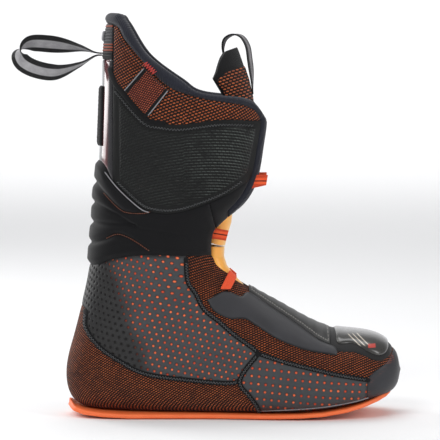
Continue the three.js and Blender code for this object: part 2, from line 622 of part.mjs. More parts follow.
// The tongue loop stands on the tongue's front, arches over its top edge and ends inside.
const tongueLoopLine = [[39.5, 284], [38.5, 298], [37, 312], [35, 324], [30, 332], [22.5, 334],
  [15.5, 330], [13.5, 322], [15, 312]];
const tongueLoopTilt = [0.3, 1, 0];
const aroundTongue = tonguePlate(liningInner - clearance, tongueMeshOuter + clearance, shinRows);
add("tongue_pull_loop", "webbing",
  band(tongueLoopLine, tongueLoopWidth, tongueLoopThickness, tongueLoopTilt, 16).subtract(aroundTongue));

// Lace loops of folded webbing. The upper and middle ones stand forward of an edge, and the
// lower one lies on the eyestay.
const bindingOuter = foamInner - clearance + bindingThickness;
const loopKeepOut = { upper: last(bindingOuter + clearance), middle: aroundBoot.subtract(throatOpening) };
const upperLoop = { outline: [[36, 212.5], [52.5, 212.5], [51, 203.5], [36, 200]], from: 21 };
const middleLoop = { outline: [[0, 167], [18.5, 164], [16, 155], [0, 157.5]], from: 20.5 };
const lowerLoopOutline = [[18, 127], [10.5, 112.5], [19.5, 112], [24.5, 121.5]];
function standingLoop({ outline, from }, keepOut, sign) {
  const [low, high] = [sign * from, sign * (from + laceLoopThickness)].sort((a, b) => a - b);
  return prism(outline, low, high).subtract(keepOut);
}
const onEyestay = 2 * clearance + overlayThickness;
const lowerLoopWall = wall(onEyestay, onEyestay + laceLoopThickness);
for (const [name, half, sign] of halves) {
  add(name + "_upper_lace_loop", "laceLoop", standingLoop(upperLoop, loopKeepOut.upper, sign));
  add(name + "_middle_lace_loop", "laceLoop", standingLoop(middleLoop, loopKeepOut.middle, sign));
  add(name + "_lower_lace_loop", "laceLoop", lowerLoopWall.intersect(prism(lowerLoopOutline))
    .intersect(half));
}

export default boot;
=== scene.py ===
# Soft inner boot of an alpine touring boot: every skin, seam and loop is worked out on the same
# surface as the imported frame. Sizes are millimetres until a mesh is made.
from functools import cached_property

import bpy
import numpy as np
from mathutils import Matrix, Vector


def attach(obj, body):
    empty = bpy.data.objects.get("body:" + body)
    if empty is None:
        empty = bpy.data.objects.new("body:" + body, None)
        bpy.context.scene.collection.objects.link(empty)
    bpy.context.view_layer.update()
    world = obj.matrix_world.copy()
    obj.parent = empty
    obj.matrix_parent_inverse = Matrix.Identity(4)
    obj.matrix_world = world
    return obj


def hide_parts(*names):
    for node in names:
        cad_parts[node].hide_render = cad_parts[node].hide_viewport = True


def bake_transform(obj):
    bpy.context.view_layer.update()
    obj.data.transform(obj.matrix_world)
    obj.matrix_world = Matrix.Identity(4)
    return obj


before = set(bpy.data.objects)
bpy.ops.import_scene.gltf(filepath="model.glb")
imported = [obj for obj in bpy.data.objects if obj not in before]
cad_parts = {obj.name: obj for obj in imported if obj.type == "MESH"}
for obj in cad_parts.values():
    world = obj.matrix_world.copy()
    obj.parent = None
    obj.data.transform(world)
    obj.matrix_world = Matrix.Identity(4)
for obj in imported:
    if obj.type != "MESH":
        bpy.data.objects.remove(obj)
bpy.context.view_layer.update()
mm = 0.001
fullTurn = 6.2832
print("frame loaded:", len(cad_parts), "nodes")


def srgb(*colour):
    return tuple(c / 12.92 if c <= 0.04045 else ((c + 0.055) / 1.055) ** 2.4 for c in np.array(colour) / 255)


# Camera, lights and world.
view = {"lens": 200, "sensor": 36, "elevation": 4, "width": 383, "target": (10.9, -20, 173), "clipEnd": 50}
studio = {
    "floorColour": (0.86, 0.86, 0.865), "worldColour": (0.92, 0.93, 0.95), "worldStrength": 0.36,
    "floorRoughness": 0.9,
}
lamps = {  # place (m), width and height (m), power (W), the point that it looks at (m)
    "key": ((-0.9, -1.5, 1.5), (1.1, 0.9), 19, (0, 0, 0.15)),
    "fill": ((1.6, -0.9, 0.9), (0.7, 1.3), 11, (0, 0, 0.15)),
    "back": ((-1.2, 0.9, 0.8), (0.7, 1.3), 13, (0, 0, 0.15)),
    "top": ((0.1, 0.3, 2.1), (1.6, 1.6), 22, (0, 0, 0.15)),
    "wall": ((0.0, 3.6, 4.2), (7.0, 3.0), 235, (0, 8, 1.2)),
}


def stand(name, data, place, target):
    # an object at a place, looking at a target
    made = bpy.data.objects.new(name, data)
    made.location = place
    made.rotation_euler = (Vector(target) - made.location).to_track_quat("-Z", "Y").to_euler()
    bpy.context.scene.collection.objects.link(made)
    return made


def setUpStudio():
    scene = bpy.context.scene
    data = bpy.data.cameras.new("camera")
    data.lens, data.sensor_width, data.clip_end = view["lens"], view["sensor"], view["clipEnd"]
    distance = view["width"] * mm * view["lens"] / view["sensor"]
    rise = np.radians(view["elevation"])
    target = Vector(view["target"]) * mm
    place = target + distance * Vector((0, -np.cos(rise), np.sin(rise)))
    scene.camera = stand("camera", data, place, target)
    for name, (place, size, power, target) in lamps.items():
        light = bpy.data.lights.new(name, "AREA")
        light.shape = "RECTANGLE"
        light.size, light.size_y = size
        light.energy = power
        stand(name, light, place, target)
    world = bpy.data.worlds.new("studio")
    world.use_nodes = True
    background = world.node_tree.nodes["Background"]
    background.inputs["Color"].default_value = (*studio["worldColour"], 1)
    background.inputs["Strength"].default_value = studio["worldStrength"]
    scene.world = world
    scene.view_settings.view_transform = "Standard"


# Meshes.
def makeMesh(name, points, faceSets, layers=None):
    # points in mm, faceSets a list of index arrays with three or four columns, layers name: (u, v)
    name = name + "_skin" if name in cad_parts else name
    mesh = bpy.data.meshes.new(name)
    corners = np.concatenate([f.ravel() for f in faceSets]).astype(np.int32)
    sizes = np.concatenate([np.full(len(f), f.shape[1]) for f in faceSets])
    mesh.vertices.add(len(points))
    mesh.vertices.foreach_set("co", (points * mm).astype(np.float32).ravel())
    mesh.loops.add(len(corners))
    mesh.loops.foreach_set("vertex_index", corners)
    mesh.polygons.add(len(sizes))
    mesh.polygons.foreach_set("loop_start", (np.cumsum(sizes) - sizes).astype(np.int32))
    mesh.polygons.foreach_set("use_smooth", np.ones(len(sizes), bool))
    mesh.update(calc_edges=True)
    for layer, values in (layers or {}).items():
        uv = mesh.uv_layers.new(name=layer)
        uv.data.foreach_set("uv", values[corners].astype(np.float32).ravel())
    mesh.validate()
    made = bpy.data.objects.new(name, mesh)
    bpy.context.scene.collection.objects.link(made)
    return made


def dress(piece, finish, moves, replaces=None):
    # a piece's finish, the nodes that it stands for (else its namesake), and what it moves with: a
    # body, to which it is parented; for a bend between two of them its transform is only baked
    piece.data.materials.append(finishes[finish])
    namesake = piece.name.removesuffix("_skin")
    replaces = replaces or [namesake] * (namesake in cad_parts)
    if replaces:
        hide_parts(*replaces)
    if isinstance(moves, str):
        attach(piece, moves)
    else:
        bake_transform(piece)
    return piece


# Curves.
def eased(share):
    return share * share * (3 - 2 * share)


def naturalCurve(rows):
    # second differences of the natural cubic through evenly counted rows
    count = len(rows)
    system = np.eye(count)
    wanted = np.zeros_like(rows, dtype=float)
    inner = np.arange(1, count - 1)
    for step, weight in ((-1, 1), (0, 4), (1, 1)):
        system[inner, inner + step] = weight
    wanted[inner] = 6 * (rows[inner + 1] - 2 * rows[inner] + rows[inner - 1])
    return rows, np.linalg.solve(system, wanted)


def curveAt(curve, t):
    # the cubic at t, where whole numbers are the rows
    rows, bends = curve
    step = np.clip(np.floor(t).astype(int), 0, len(rows) - 2)
    after = (t - step)[..., None]
    before = 1 - after
    return (before * rows[step] + after * rows[step + 1]
            + ((before ** 3 - before) * bends[step] + (after ** 3 - after) * bends[step + 1]) / 6)


def runAlong(points):
    # the length travelled at each point
    return np.concatenate([[0], np.cumsum(np.linalg.norm(np.diff(points, axis=0), axis=1))])


def evenly(points, step):
    # points of a line again, about one step apart along it
    points = np.asarray(points, float)
    run = runAlong(points)
    wanted = np.linspace(0, run[-1], max(2, int(np.ceil(run[-1] / step)) + 1))
    return np.stack([np.interp(wanted, run, column) for column in points.T], 1)


def smooth(points, step=3.0):
    # a rounded line through the points, each stretch a cubic of the four points round it
    points = np.asarray(points, float)
    if len(points) < 3:
        return evenly(points, step)
    fine = np.linspace(0, len(points) - 1, 24 * len(points))
    start = np.floor(fine).astype(int)
    before, at, after, beyond = (points[np.clip(start + k, 0, len(points) - 1)] for k in (-1, 0, 1, 2))
    f = (fine - start)[:, None]
    line = 0.5 * (2 * at + (after - before) * f + (2 * before - 5 * at + 4 * after - beyond) * f ** 2
                  + (3 * at - before - 3 * after + beyond) * f ** 3)
    return evenly(line, step)


def lineFacts(line, x, z, closed=False):
    # distance to a line, and the run along it at the nearest place
    starts = line if closed else line[:-1]
    ends = np.roll(line, -1, 0) if closed else line[1:]
    best = np.full(x.shape, 1e9)
    run = np.zeros(x.shape)
    travelled = 0.0
    for (ax, az), (bx, bz) in zip(starts, ends):
        dx, dz = bx - ax, bz - az
        length = np.hypot(dx, dz)
        if length < 1e-9:
            continue
        share = np.clip(((x - ax) * dx + (z - az) * dz) / length ** 2, 0, 1)
        gap = np.hypot(x - ax - share * dx, z - az - share * dz)
        nearer = gap < best
        best = np.where(nearer, gap, best)
        run = np.where(nearer, travelled + share * length, run)
        travelled += length
    return best, run


def insideOf(line, x, z):
    # a point is inside where a ray along X crosses the closed line an odd number of times
    crossed = np.zeros(x.shape, bool)
    for (ax, az), (bx, bz) in zip(line, np.roll(line, -1, 0)):
        if az != bz:
            crossed ^= ((az > z) != (bz > z)) & (x < (bx - ax) * (z - az) / (bz - az) + ax)
    return crossed


# A region is a function of (x, y, z) that gives how far inside a place is, and the run round its edge.
def within(outline, *others):
    # inside a closed outline of the side view, and where every other depth is above 0 too
    outline = np.asarray(outline, float)

    def field(x, y, z):
        gap, run = lineFacts(outline, x, z, closed=True)
        depth = np.where(insideOf(outline, x, z), gap, -gap)
        return np.minimum.reduce([depth, *(other(x, y, z) for other in others)]), run

    return field


def beside(line, half):
    # up to half a width from an open line of the side view
    def field(x, y, z):
        gap, run = lineFacts(line, x, z)
        return half - gap, run

    return field


def inside(outline):
    field = within(outline)
    return lambda x, y, z: field(x, y, z)[0]


# The boot's surface. Each row: top or front point, sole or back point, half width, roundness of
# the front and of the back (2 is an ellipse), shift towards the big toe.
stations = np.array([
    [170.5, 39, 170.5, 38.6, 0.2, 2, 2, 9],
    [169, 44.5, 169, 33.5, 10, 2, 2, 9],
    [166.5, 54, 166.5, 26, 22, 2.2, 2.3, 8.5],
    [159.5, 62.5, 159.5, 20, 33, 2.3, 2.8, 8],
    [146.5, 70, 145, 15, 42, 2.3, 3.4, 7],
    [125.5, 73.5, 122, 10, 49, 2.3, 4, 5.5],
    [105, 77, 99.5, 7, 52, 2.2, 4.4, 3.5],
    [83, 87, 76, 5, 51, 2.1, 4.4, 2],
    [63, 98.5, 50, 4.5, 47, 2.1, 4.4, 1],
    [47.5, 107, 24, 4.5, 43.5, 2.1, 4.4, 0],
    [32.5, 116.5, -6.5, 4.5, 41, 2.1, 4.2, 0],
    [22, 126, -37, 4.5, 39.5, 2.1, 4, 0],
    [16, 133, -67.5, 5.5, 38.5, 2.1, 3.6, 0],
    [12.5, 138.5, -96, 6.5, 38, 2.1, 3.1, 0],
    [11.5, 142.5, -118.5, 15, 38, 2.1, 2.6, 0],
    [11.5, 146.5, -124.5, 41, 39, 2.1, 2.4, 0],
    [11.5, 150.5, -118.5, 68.5, 40, 2.1, 2.3, 0],
    [12.5, 155, -112, 93, 41, 2.1, 2.3, 0],
    [14.5, 161, -106.5, 115.5, 42, 2.1, 2.3, 0],
    [18, 169, -103, 136.5, 43.5, 2.1, 2.3, 0],
    [24, 178.5, -101.5, 155.5, 45, 2.1, 2.3, 0],
    [33.5, 188.5, -99.5, 175, 47, 2.2, 2.3, 0],
    [41, 199.5, -98.5, 194, 49.5, 2.2, 2.3, 0],
    [45, 212, -96, 215, 52, 2.3, 2.4, 0],
    [47.5, 226, -94.5, 236, 54, 2.3, 2.4, 0],
    [49.5, 240.5, -93.5, 258.5, 56, 2.3, 2.4, 0],
    [51.5, 255.5, -92.5, 286, 57.5, 2.3, 2.4, 0],
    [51.5, 268, -91.5, 315, 58, 2.3, 2.4, 0],
    [51, 281, -88.5, 341, 58, 2.3, 2.4, 0],
    [49, 295, -82, 368, 58, 2.3, 2.4, 0],
], float)
bootCurve = naturalCurve(stations)
lastStation = len(stations) - 1
atStart = 0.02  # the first section is nearly a point, so a grid starts a little after it


def signedPower(value, power):
    return np.sign(value) * np.abs(value) ** power


def bootPoint(t, angle):
    # a squared ellipse in the plane of station t; angle 0 is the sole or back, pi the top or front,
    # and angles from 0 to pi are the outer side
    row = curveAt(bootCurve, t)
    c, s = np.cos(angle), np.sin(angle)
    power = 2 / np.where(c > 0, row[..., 6], row[..., 5])
    u, v = signedPower(c, power), signedPower(s, power)
    x, z = ((row[..., k] * (1 - u) + row[..., k + 2] * (1 + u)) / 2 for k in (0, 1))
    return np.stack([x, row[..., 7] - row[..., 4] * v, z], -1)


def unit(vectors):
    return vectors / np.maximum(np.linalg.norm(vectors, axis=-1, keepdims=True), 1e-9)


def bootNormal(t, angle):
    # outward: across the two directions of the surface, by small steps each way
    dt, da = 0.03, 0.02
    low = np.clip(t - dt, atStart, lastStation)
    high = np.clip(t + dt, atStart + dt, lastStation)
    alongBoot = bootPoint(high, angle) - bootPoint(low, angle)
    roundBoot = bootPoint(t, angle + da) - bootPoint(t, angle - da)
    return unit(np.cross(roundBoot, alongBoot))


# Angles at even steps round each section, so that a grid's columns are equally wide.
tableRows = np.linspace(0, lastStation, lastStation * 6 + 1)
tableShares = np.linspace(0, 1, 121)
fineAngles = np.linspace(0, np.pi, 481)
finePoints = bootPoint(tableRows[:, None], fineAngles[None, :])
fineRun = np.cumsum(np.linalg.norm(np.diff(finePoints, axis=1), axis=2), axis=1)
fineRun = np.concatenate([np.zeros((len(tableRows), 1)), fineRun], 1)
angleTable = np.stack([np.interp(tableShares * r[-1], r, fineAngles) for r in fineRun])


def angleAt(t, share):
    # share 0 is the sole or back and 1 the top or front of the outer side, then on to 2; below 0 is
    # the inner side
    folded = np.where(share > 1, 2 - share, np.abs(share))
    row = np.clip(t / lastStation, 0, 1) * (len(tableRows) - 1)
    column = np.clip(folded, 0, 1) * (len(tableShares) - 1)
    i = np.minimum(row.astype(int), len(tableRows) - 2)
    j = np.minimum(column.astype(int), len(tableShares) - 2)
    a, b = row - i, column - j
    found = ((1 - a) * (1 - b) * angleTable[i, j] + a * (1 - b) * angleTable[i + 1, j]
             + (1 - a) * b * angleTable[i, j + 1] + a * b * angleTable[i + 1, j + 1])
    return np.where(share > 1, 2 * np.pi - found, np.where(share < 0, -found, found))


def bootSurface(t, share):
    angle = angleAt(t, share)
    return bootPoint(t, angle), bootNormal(t, angle)


def placeOnBoot(line, side):
    # the station and angle of each point of a side-view line, on the outer (+1) or inner (-1) side:
    # a point's station is where it lies on the chord from the top point to the sole point
    line = np.asarray(line, float)
    t = np.linspace(atStart, lastStation, lastStation * 30)
    row = curveAt(bootCurve, t)
    chord = row[:, 2:4] - row[:, 0:2]
    off = line[:, None, :] - row[None, :, 0:2]
    turn = chord[None, :, 0] * off[..., 1] - chord[None, :, 1] * off[..., 0]
    share = (off * chord[None]).sum(-1) / (chord ** 2).sum(-1)[None]
    crosses = (turn[:, 1:] * turn[:, :-1] <= 0)
    miss = np.abs(share[:, 1:] - 0.5) + np.where(crosses, 0, 1e3)
    k = miss.argmin(1)
    n = np.arange(len(line))
    part = turn[n, k] / (turn[n, k] - turn[n, k + 1] + 1e-12)
    station = t[k] + part * (t[k + 1] - t[k])
    u = np.clip(2 * (share[n, k] + part * (share[n, k + 1] - share[n, k])) - 1, -1, 1)
    found = curveAt(bootCurve, station)
    power = np.where(u > 0, found[:, 6], found[:, 5]) / 2
    return station, side * np.arccos(np.clip(signedPower(u, power), -1, 1))


def lineOnBoot(line, side, lift=0.0):
    # a side-view line laid on the boot, with its outward directions
    t, angle = placeOnBoot(line, side)
    normal = bootNormal(t, angle)
    return bootPoint(t, angle) + normal * lift, normal


# Patches: a grid on a surface, clipped to a region, and closed into a thin shell.
def gridFaces(rows, columns):
    # two triangles for each cell, whose diagonal turns from cell to cell
    i, j = np.meshgrid(np.arange(rows - 1), np.arange(columns - 1), indexing="ij")
    a = (i * columns + j).ravel()
    b, c, d = a + 1, a + columns + 1, a + columns
    even = ((i + j) % 2 == 0).ravel()[:, None]
    first = np.where(even, np.stack([a, b, c], 1), np.stack([a, b, d], 1))
    second = np.where(even, np.stack([a, c, d], 1), np.stack([b, c, d], 1))
    return np.concatenate([first, second])


def clipFaces(p, q, faces, depth):
    # keeps the part of a triangle grid where depth is above 0, with new corners where it crosses 0
    inDepth = depth > 0
    count = inDepth[faces].sum(1)
    kept = [faces[count == 3]]
    cuts = []
    for lone in (1, 2):
        part = faces[count == lone]
        odd = (inDepth[part] == (lone == 1)).argmax(1)
        cuts.append(part[np.arange(len(part))[:, None], (odd[:, None] + np.arange(3)) % 3])
    pairs = np.concatenate([np.concatenate([c[:, [0, 1]], c[:, [0, 2]]]) for c in cuts])
    if len(pairs):
        edges, where = np.unique(np.sort(pairs, 1), axis=0, return_inverse=True)
        where = where.ravel() + len(p)
        a, b = edges.T
        share = np.clip(depth[a] / (depth[a] - depth[b]), 0.02, 0.98)
        p = np.concatenate([p, p[a] + share * (p[b] - p[a])])
        q = np.concatenate([q, q[a] + share * (q[b] - q[a])])
        start = 0
        for lone, c in zip((1, 2), cuts):
            n = len(c)
            ab, ac = where[start:start + n], where[start + n:start + 2 * n]
            start += 2 * n
            made = [(c[:, 0], ab, ac)] if lone == 1 else [(ab, c[:, 1], c[:, 2]), (ab, c[:, 2], ac)]
            kept.extend(np.stack(corners, 1) for corners in made)
    used, faces = np.unique(np.concatenate(kept), return_inverse=True)
    return p[used], q[used], faces.reshape(-1, 3)


def shell(name, surface, p, q, faces, outer, inner, layers):
    # two copies of a clipped grid, lifted to outer and inner, joined round every open edge
    place, normal = surface(p, q)
    face = place[faces]
    way = (np.cross(face[:, 1] - face[:, 0], face[:, 2] - face[:, 0]) * normal[faces[:, 0]]).sum()
    if way < 0:
        faces = faces[:, ::-1]
    count = len(p)
    directed = np.concatenate([faces[:, [0, 1]], faces[:, [1, 2]], faces[:, [2, 0]]])
    key = directed[:, 0].astype(np.int64) * count + directed[:, 1]
    back = directed[:, 1].astype(np.int64) * count + directed[:, 0]
    rim = directed[~np.isin(key, back)]
    points = np.concatenate([place + normal * lift[:, None] for lift in (outer, inner)])
    rimFaces = np.stack([rim[:, 1], rim[:, 0], rim[:, 0] + count, rim[:, 1] + count], 1)
    doubled = {layer: np.concatenate([value, value]) for layer, value in layers.items()}
    return makeMesh(name, points, [faces, faces[:, ::-1] + count, rimFaces], doubled)


def gridOver(region, surface, shares, rows, cell):
    # the part of a surface that a region takes up, and the rows and columns that its cells need
    ts = np.linspace(*rows, 60)
    ss = np.linspace(*shares, 61)
    place, _ = surface(*np.meshgrid(ts, ss, indexing="ij"))
    depth, _ = region(*np.moveaxis(place, -1, 0))
    inT, inS = np.where(depth > -4)
    t0, t1 = max(inT.min() - 1, 0), min(inT.max() + 1, len(ts) - 1)
    s0, s1 = max(inS.min() - 1, 0), min(inS.max() + 1, len(ss) - 1)
    near = place[t0:t1 + 1, s0:s1 + 1]
    long = np.linalg.norm(np.diff(near, axis=0), axis=-1).sum(0).max()
    wide = np.linalg.norm(np.diff(near, axis=1), axis=-1).sum(1).max()
    return ts[t0], ts[t1], int(long / cell) + 3, ss[s0], ss[s1], int(wide / cell) + 3


def patch(name, region, shares=(0, 1), rows=None, cell=1.2, lift=0.0, thickness=0.9, edge=(0.5, 1.2),
          relief=None, weave=(1, 0), surface=bootSurface, grid=None, hem=None):
    # a skin inside a region. lift is its outer face, which drops by edge[0] within about edge[1] of its
    # border, and relief adds to it from (u, v, x, y, z, depth). weave unrolls the flat coordinates round
    # the back or top, u = x + weave[0]|y| and v = z + weave[1]|y|, or is a function that does so. hem is
    # for padded edges: the inner face's rise at the border, its width, and the depth of a soft wave
    grid = grid or gridOver(region, surface, shares, rows, cell)
    t0, t1, rowCount, s0, s1, columnCount = grid
    t, s = np.meshgrid(np.linspace(t0, t1, rowCount), np.linspace(s0, s1, columnCount), indexing="ij")
    p, q = t.ravel(), s.ravel()
    place, _ = surface(p, q)
    depth, _ = region(*place.T)
    p, q, faces = clipFaces(p, q, gridFaces(rowCount, columnCount), depth)
    place, _ = surface(p, q)
    x, y, z = place.T
    depth, run = region(x, y, z)
    if callable(weave):
        u, v = weave(x, y, z)
    else:
        u, v = x + weave[0] * np.abs(y), z + weave[1] * np.abs(y)
    outer = lift - edge[0] * np.exp(-np.maximum(depth, 0) / edge[1])
    if relief:
        outer = outer + relief(u, v, x, y, z, depth)
    inner = np.full(len(p), lift - thickness)
    if hem:
        inner = inner + hem[0] * np.exp(-np.maximum(depth, 0) / hem[1])
        inner = inner + hem[2] * np.sin(u * 0.42) * np.sin(v * 0.42)
    layers = {"flat": np.stack([u, v], 1), "border": np.stack([run, np.maximum(depth, 0)], 1)}
    return shell(name, surface, p, q, faces, outer, np.minimum(inner, outer - 0.2), layers)


def skin(name, region, finish, slot, moves, replaces=None, **shape):
    return dress(patch(name, region, **shape), finish, moves, replaces)


# Tubes, plates and threads.
def ringFaces(rings, around):
    # the quads between closed rings, then a fan at each end to one more point there
    i, j = np.meshgrid(np.arange(rings - 1), np.arange(around), indexing="ij")
    a, b = i * around + j, i * around + (j + 1) % around
    quads = np.stack([a, b, b + around, a + around], -1).reshape(-1, 4)
    n, k = rings * around, np.arange(around)
    first = np.stack([np.full(around, n), (k + 1) % around, k], 1)
    last = np.stack([np.full(around, n + 1), n - around + k, n - around + (k + 1) % around], 1)
    return [quads, first, last]


def flipped(faceSets, flip):
    return [f[:, ::-1] for f in faceSets] if flip else faceSets


def tube(name, centres, across, up, profile):
    # a closed profile (columns: across, up) carried along centres; across and up are the directions
    # at each centre, and profile may change along it; both ends are closed
    steps, around = len(centres), profile.shape[-2]
    shape = np.broadcast_to(profile, (steps, around, 2))
    points = centres[:, None] + across[:, None] * shape[..., :1] + up[:, None] * shape[..., 1:]
    run = runAlong(centres)
    flat = np.stack([np.broadcast_to(run[:, None], (steps, around)), shape[..., 0]], -1).reshape(-1, 2)
    flat = np.concatenate([flat, [[run[0], 0], [run[-1], 0]]])
    points = np.concatenate([points.reshape(-1, 3), [points[0].mean(0), points[-1].mean(0)]])
    turned = np.cross(across[0], up[0]) @ (centres[1] - centres[0]) < 0
    return makeMesh(name, points, flipped(ringFaces(steps, around), turned), {"flat": flat})


def rounded(width, height, corner, count=40, power=4):
    # a squared ellipse as a closed profile
    angle = np.linspace(0, 2 * np.pi, count, endpoint=False) + corner
    return np.stack([width / 2 * signedPower(np.cos(angle), 2 / power),
                     height / 2 * signedPower(np.sin(angle), 2 / power)], 1)


def piping(name, line, side, lift, radius):
    # a thin round cord laid along a side-view line of the boot
    centres, normals = lineOnBoot(line, side, lift)
    tangent = unit(np.gradient(centres, axis=0))
    across = unit(np.cross(normals, tangent))
    return tube(name, centres, across, unit(np.cross(tangent, across)), rounded(2 * radius, 2 * radius, 0, 10, 2))


def stitchEnds(line, side, pitch, width=0.0, offset=0.0, gap=0.25, lift=0.6):
    # starts and ends of stitches along a side-view line: straight where width is 0, else a zigzag
    line = evenly(line, pitch)
    tangent = unit(np.gradient(line, axis=0))
    left = np.stack([-tangent[:, 1], tangent[:, 0]], 1)
    swing = np.where(np.arange(len(line)) % 2, 0.5, -0.5)[:, None] * width
    place, normal = lineOnBoot(line + left * (swing + offset), side, lift)
    starts, ends = place[:-1], place[1:]
    shorten = (ends - starts) * gap / 2
    return starts + shorten, ends - shorten, normal[:-1]


def stitchRows(name, rows, radius=0.28, arch=0.35):
    # short threads, all worked out at once: each is a six-sided tube of five rings that arches up
    # from its start to its end
    parts = [stitchEnds(**row) for row in rows]
    starts, ends, normals = (np.concatenate(column) for column in zip(*parts))
    along = ends - starts
    across = unit(np.cross(along, normals))
    shares = np.linspace(0, 1, 5)
    hump = np.sin(np.pi * shares)
    girth = radius * (0.45 + 0.55 * hump)
    angle = np.linspace(0, 2 * np.pi, 6, endpoint=False)
    centre = (starts[:, None] + along[:, None] * shares[None, :, None]
              + normals[:, None] * (arch * hump)[None, :, None])
    ring = (across[:, None, None] * np.cos(angle)[None, None, :, None]
            + normals[:, None, None] * np.sin(angle)[None, None, :, None])
    points = centre[:, :, None] + ring * girth[None, :, None, None]
    caps = np.array([[3, 2, 1, 0], [5, 4, 3, 0], [24, 25, 26, 27], [24, 27, 28, 29]])
    one = np.concatenate([ringFaces(5, 6)[0], caps])
    faces = one[None] + (np.arange(len(starts)) * 30)[:, None, None]
    return makeMesh(name, points.reshape(-1, 3), [faces.reshape(-1, 4)])


# Shader maths: a socket that adds, multiplies and compares.
def operator(kind, swapped=False):
    def apply(self, *others):
        return self.shader.maths(kind, *((*others, self) if swapped else (self, *others)))

    return apply


class Channel:
    def __init__(self, shader, socket):
        self.shader = shader
        self.socket = socket

    __add__ = __radd__ = operator("ADD")
    __sub__, __rsub__ = operator("SUBTRACT"), operator("SUBTRACT", True)
    __mul__ = __rmul__ = operator("MULTIPLY")
    __truediv__, __pow__, __abs__ = operator("DIVIDE"), operator("POWER"), operator("ABSOLUTE")
    fract, floor, sine = operator("FRACT"), operator("FLOOR"), operator("SINE")
    least, most = operator("MINIMUM"), operator("MAXIMUM")

    def held(self):
        return self.most(0).least(1)

    def ramp(self, low, high):
        # 0 below low, 1 above high, and smooth between
        return self.shader.node("ShaderNodeMapRange", {"interpolation_type": "SMOOTHSTEP"},
                                {0: self, 1: low, 2: high, 3: 0.0, 4: 1.0})

    def between(self, low, lowFull, highFull, high):
        return self.ramp(low, lowFull) * (1 - self.ramp(highFull, high))

    def near(self, centre, full, far):
        # 1 within full of the centre, 0 beyond far
        return 1 - abs(self - centre).ramp(full, far)

    def hump(self, half, power):
        # 1 at 0, and down to 0 at half, the flatter the higher the power
        return (1 - (abs(self) / half) ** power).most(0)

    def wave(self, pitch):
        return (self * (fullTurn / pitch)).sine()


class Shader:
    def __init__(self, name):
        self.material = bpy.data.materials.new(name)
        self.material.use_nodes = True
        self.tree = self.material.node_tree
        self.tree.nodes.clear()

    def node(self, kind, settings=None, values=None, output=0):
        made = self.tree.nodes.new(kind)
        for key, value in (settings or {}).items():
            setattr(made, key, value)
        for key, value in (values or {}).items():
            if isinstance(value, Channel):
                self.tree.links.new(value.socket, made.inputs[key])
            elif isinstance(value, tuple) and made.inputs[key].type == "RGBA":
                made.inputs[key].default_value = (*value, 1)
            else:
                made.inputs[key].default_value = value
        return Channel(self, made.outputs[output]) if made.outputs else None

    def maths(self, operation, *values):
        return self.node("ShaderNodeMath", {"operation": operation}, dict(enumerate(values)))

    def split(self, vector):
        parts = self.node("ShaderNodeSeparateXYZ", {}, {0: vector}).socket.node
        return [Channel(self, socket) for socket in parts.outputs]

    def joined(self, x, y, z=0.0):
        return self.node("ShaderNodeCombineXYZ", {}, {0: x, 1: y, 2: z})

    @cached_property
    def place(self):
        # object coordinates in mm
        raw = self.node("ShaderNodeTexCoord", output="Object")
        return self.node("ShaderNodeVectorMath", {"operation": "SCALE"}, {0: raw, 3: 1 / mm})

    @cached_property
    def xyz(self):
        return self.split(self.place)

    def layer(self, name):
        # "flat" is the unrolled place, or a tube's run and width; "border" the run round a piece's edge
        # and the depth inside it
        return self.split(self.node("ShaderNodeUVMap", {"uv_map": name}))[:2]

    def noise(self, scale, detail=3.0, rough=0.55, vector=None):
        values = {"Vector": vector or self.place, "Scale": scale, "Detail": detail, "Roughness": rough}
        return self.node("ShaderNodeTexNoise", {}, values)

    def chance(self, column, row):
        # a steady chance value for each cell
        return self.node("ShaderNodeTexWhiteNoise", {"noise_dimensions": "2D"},
                         {"Vector": self.joined(column, row)})

    def mix(self, share, first, second):
        return self.node("ShaderNodeMix", {"data_type": "RGBA"}, {0: share, 6: first, 7: second}, 2)

    def finish(self, colour, roughness, height=None, bump=0.3, depth=0.6, **fixed):
        # fixed: plain numbers for the other sockets of the surface shader
        values = {"Base Color": colour, "Roughness": roughness}
        if height:
            values["Normal"] = self.node("ShaderNodeBump", {}, {"Height": height, "Strength": bump,
                                                                "Distance": depth * mm})
        values.update({sockets[key]: value for key, value in fixed.items()})
        surface = self.node("ShaderNodeBsdfPrincipled", {}, values)
        self.node("ShaderNodeOutputMaterial", {}, {0: surface})
        return self.material


sockets = {
    "coat": "Coat Weight", "coatRough": "Coat Roughness", "specular": "Specular IOR Level",
    "sheen": "Sheen Weight", "sheenRough": "Sheen Roughness", "metallic": "Metallic",
    "subsurface": "Subsurface Weight", "subsurfaceScale": "Subsurface Scale",
}


def turned(u, v, degrees):
    c, s = np.cos(np.radians(degrees)), np.sin(np.radians(degrees))
    return u * c + v * s, v * c - u * s


def staggered(u, v, pitchU, pitchV, slant=0.0, shift=0.5):
    # a brick grid: cell coordinates from -0.5 to 0.5, every second row moved on by shift of a cell
    row = (v / pitchV).floor()
    shifted = u / pitchU + (row * shift).fract()
    across = shifted.fract() - 0.5
    return across, (v / pitchV).fract() - 0.5 + across * slant, shifted.floor(), row


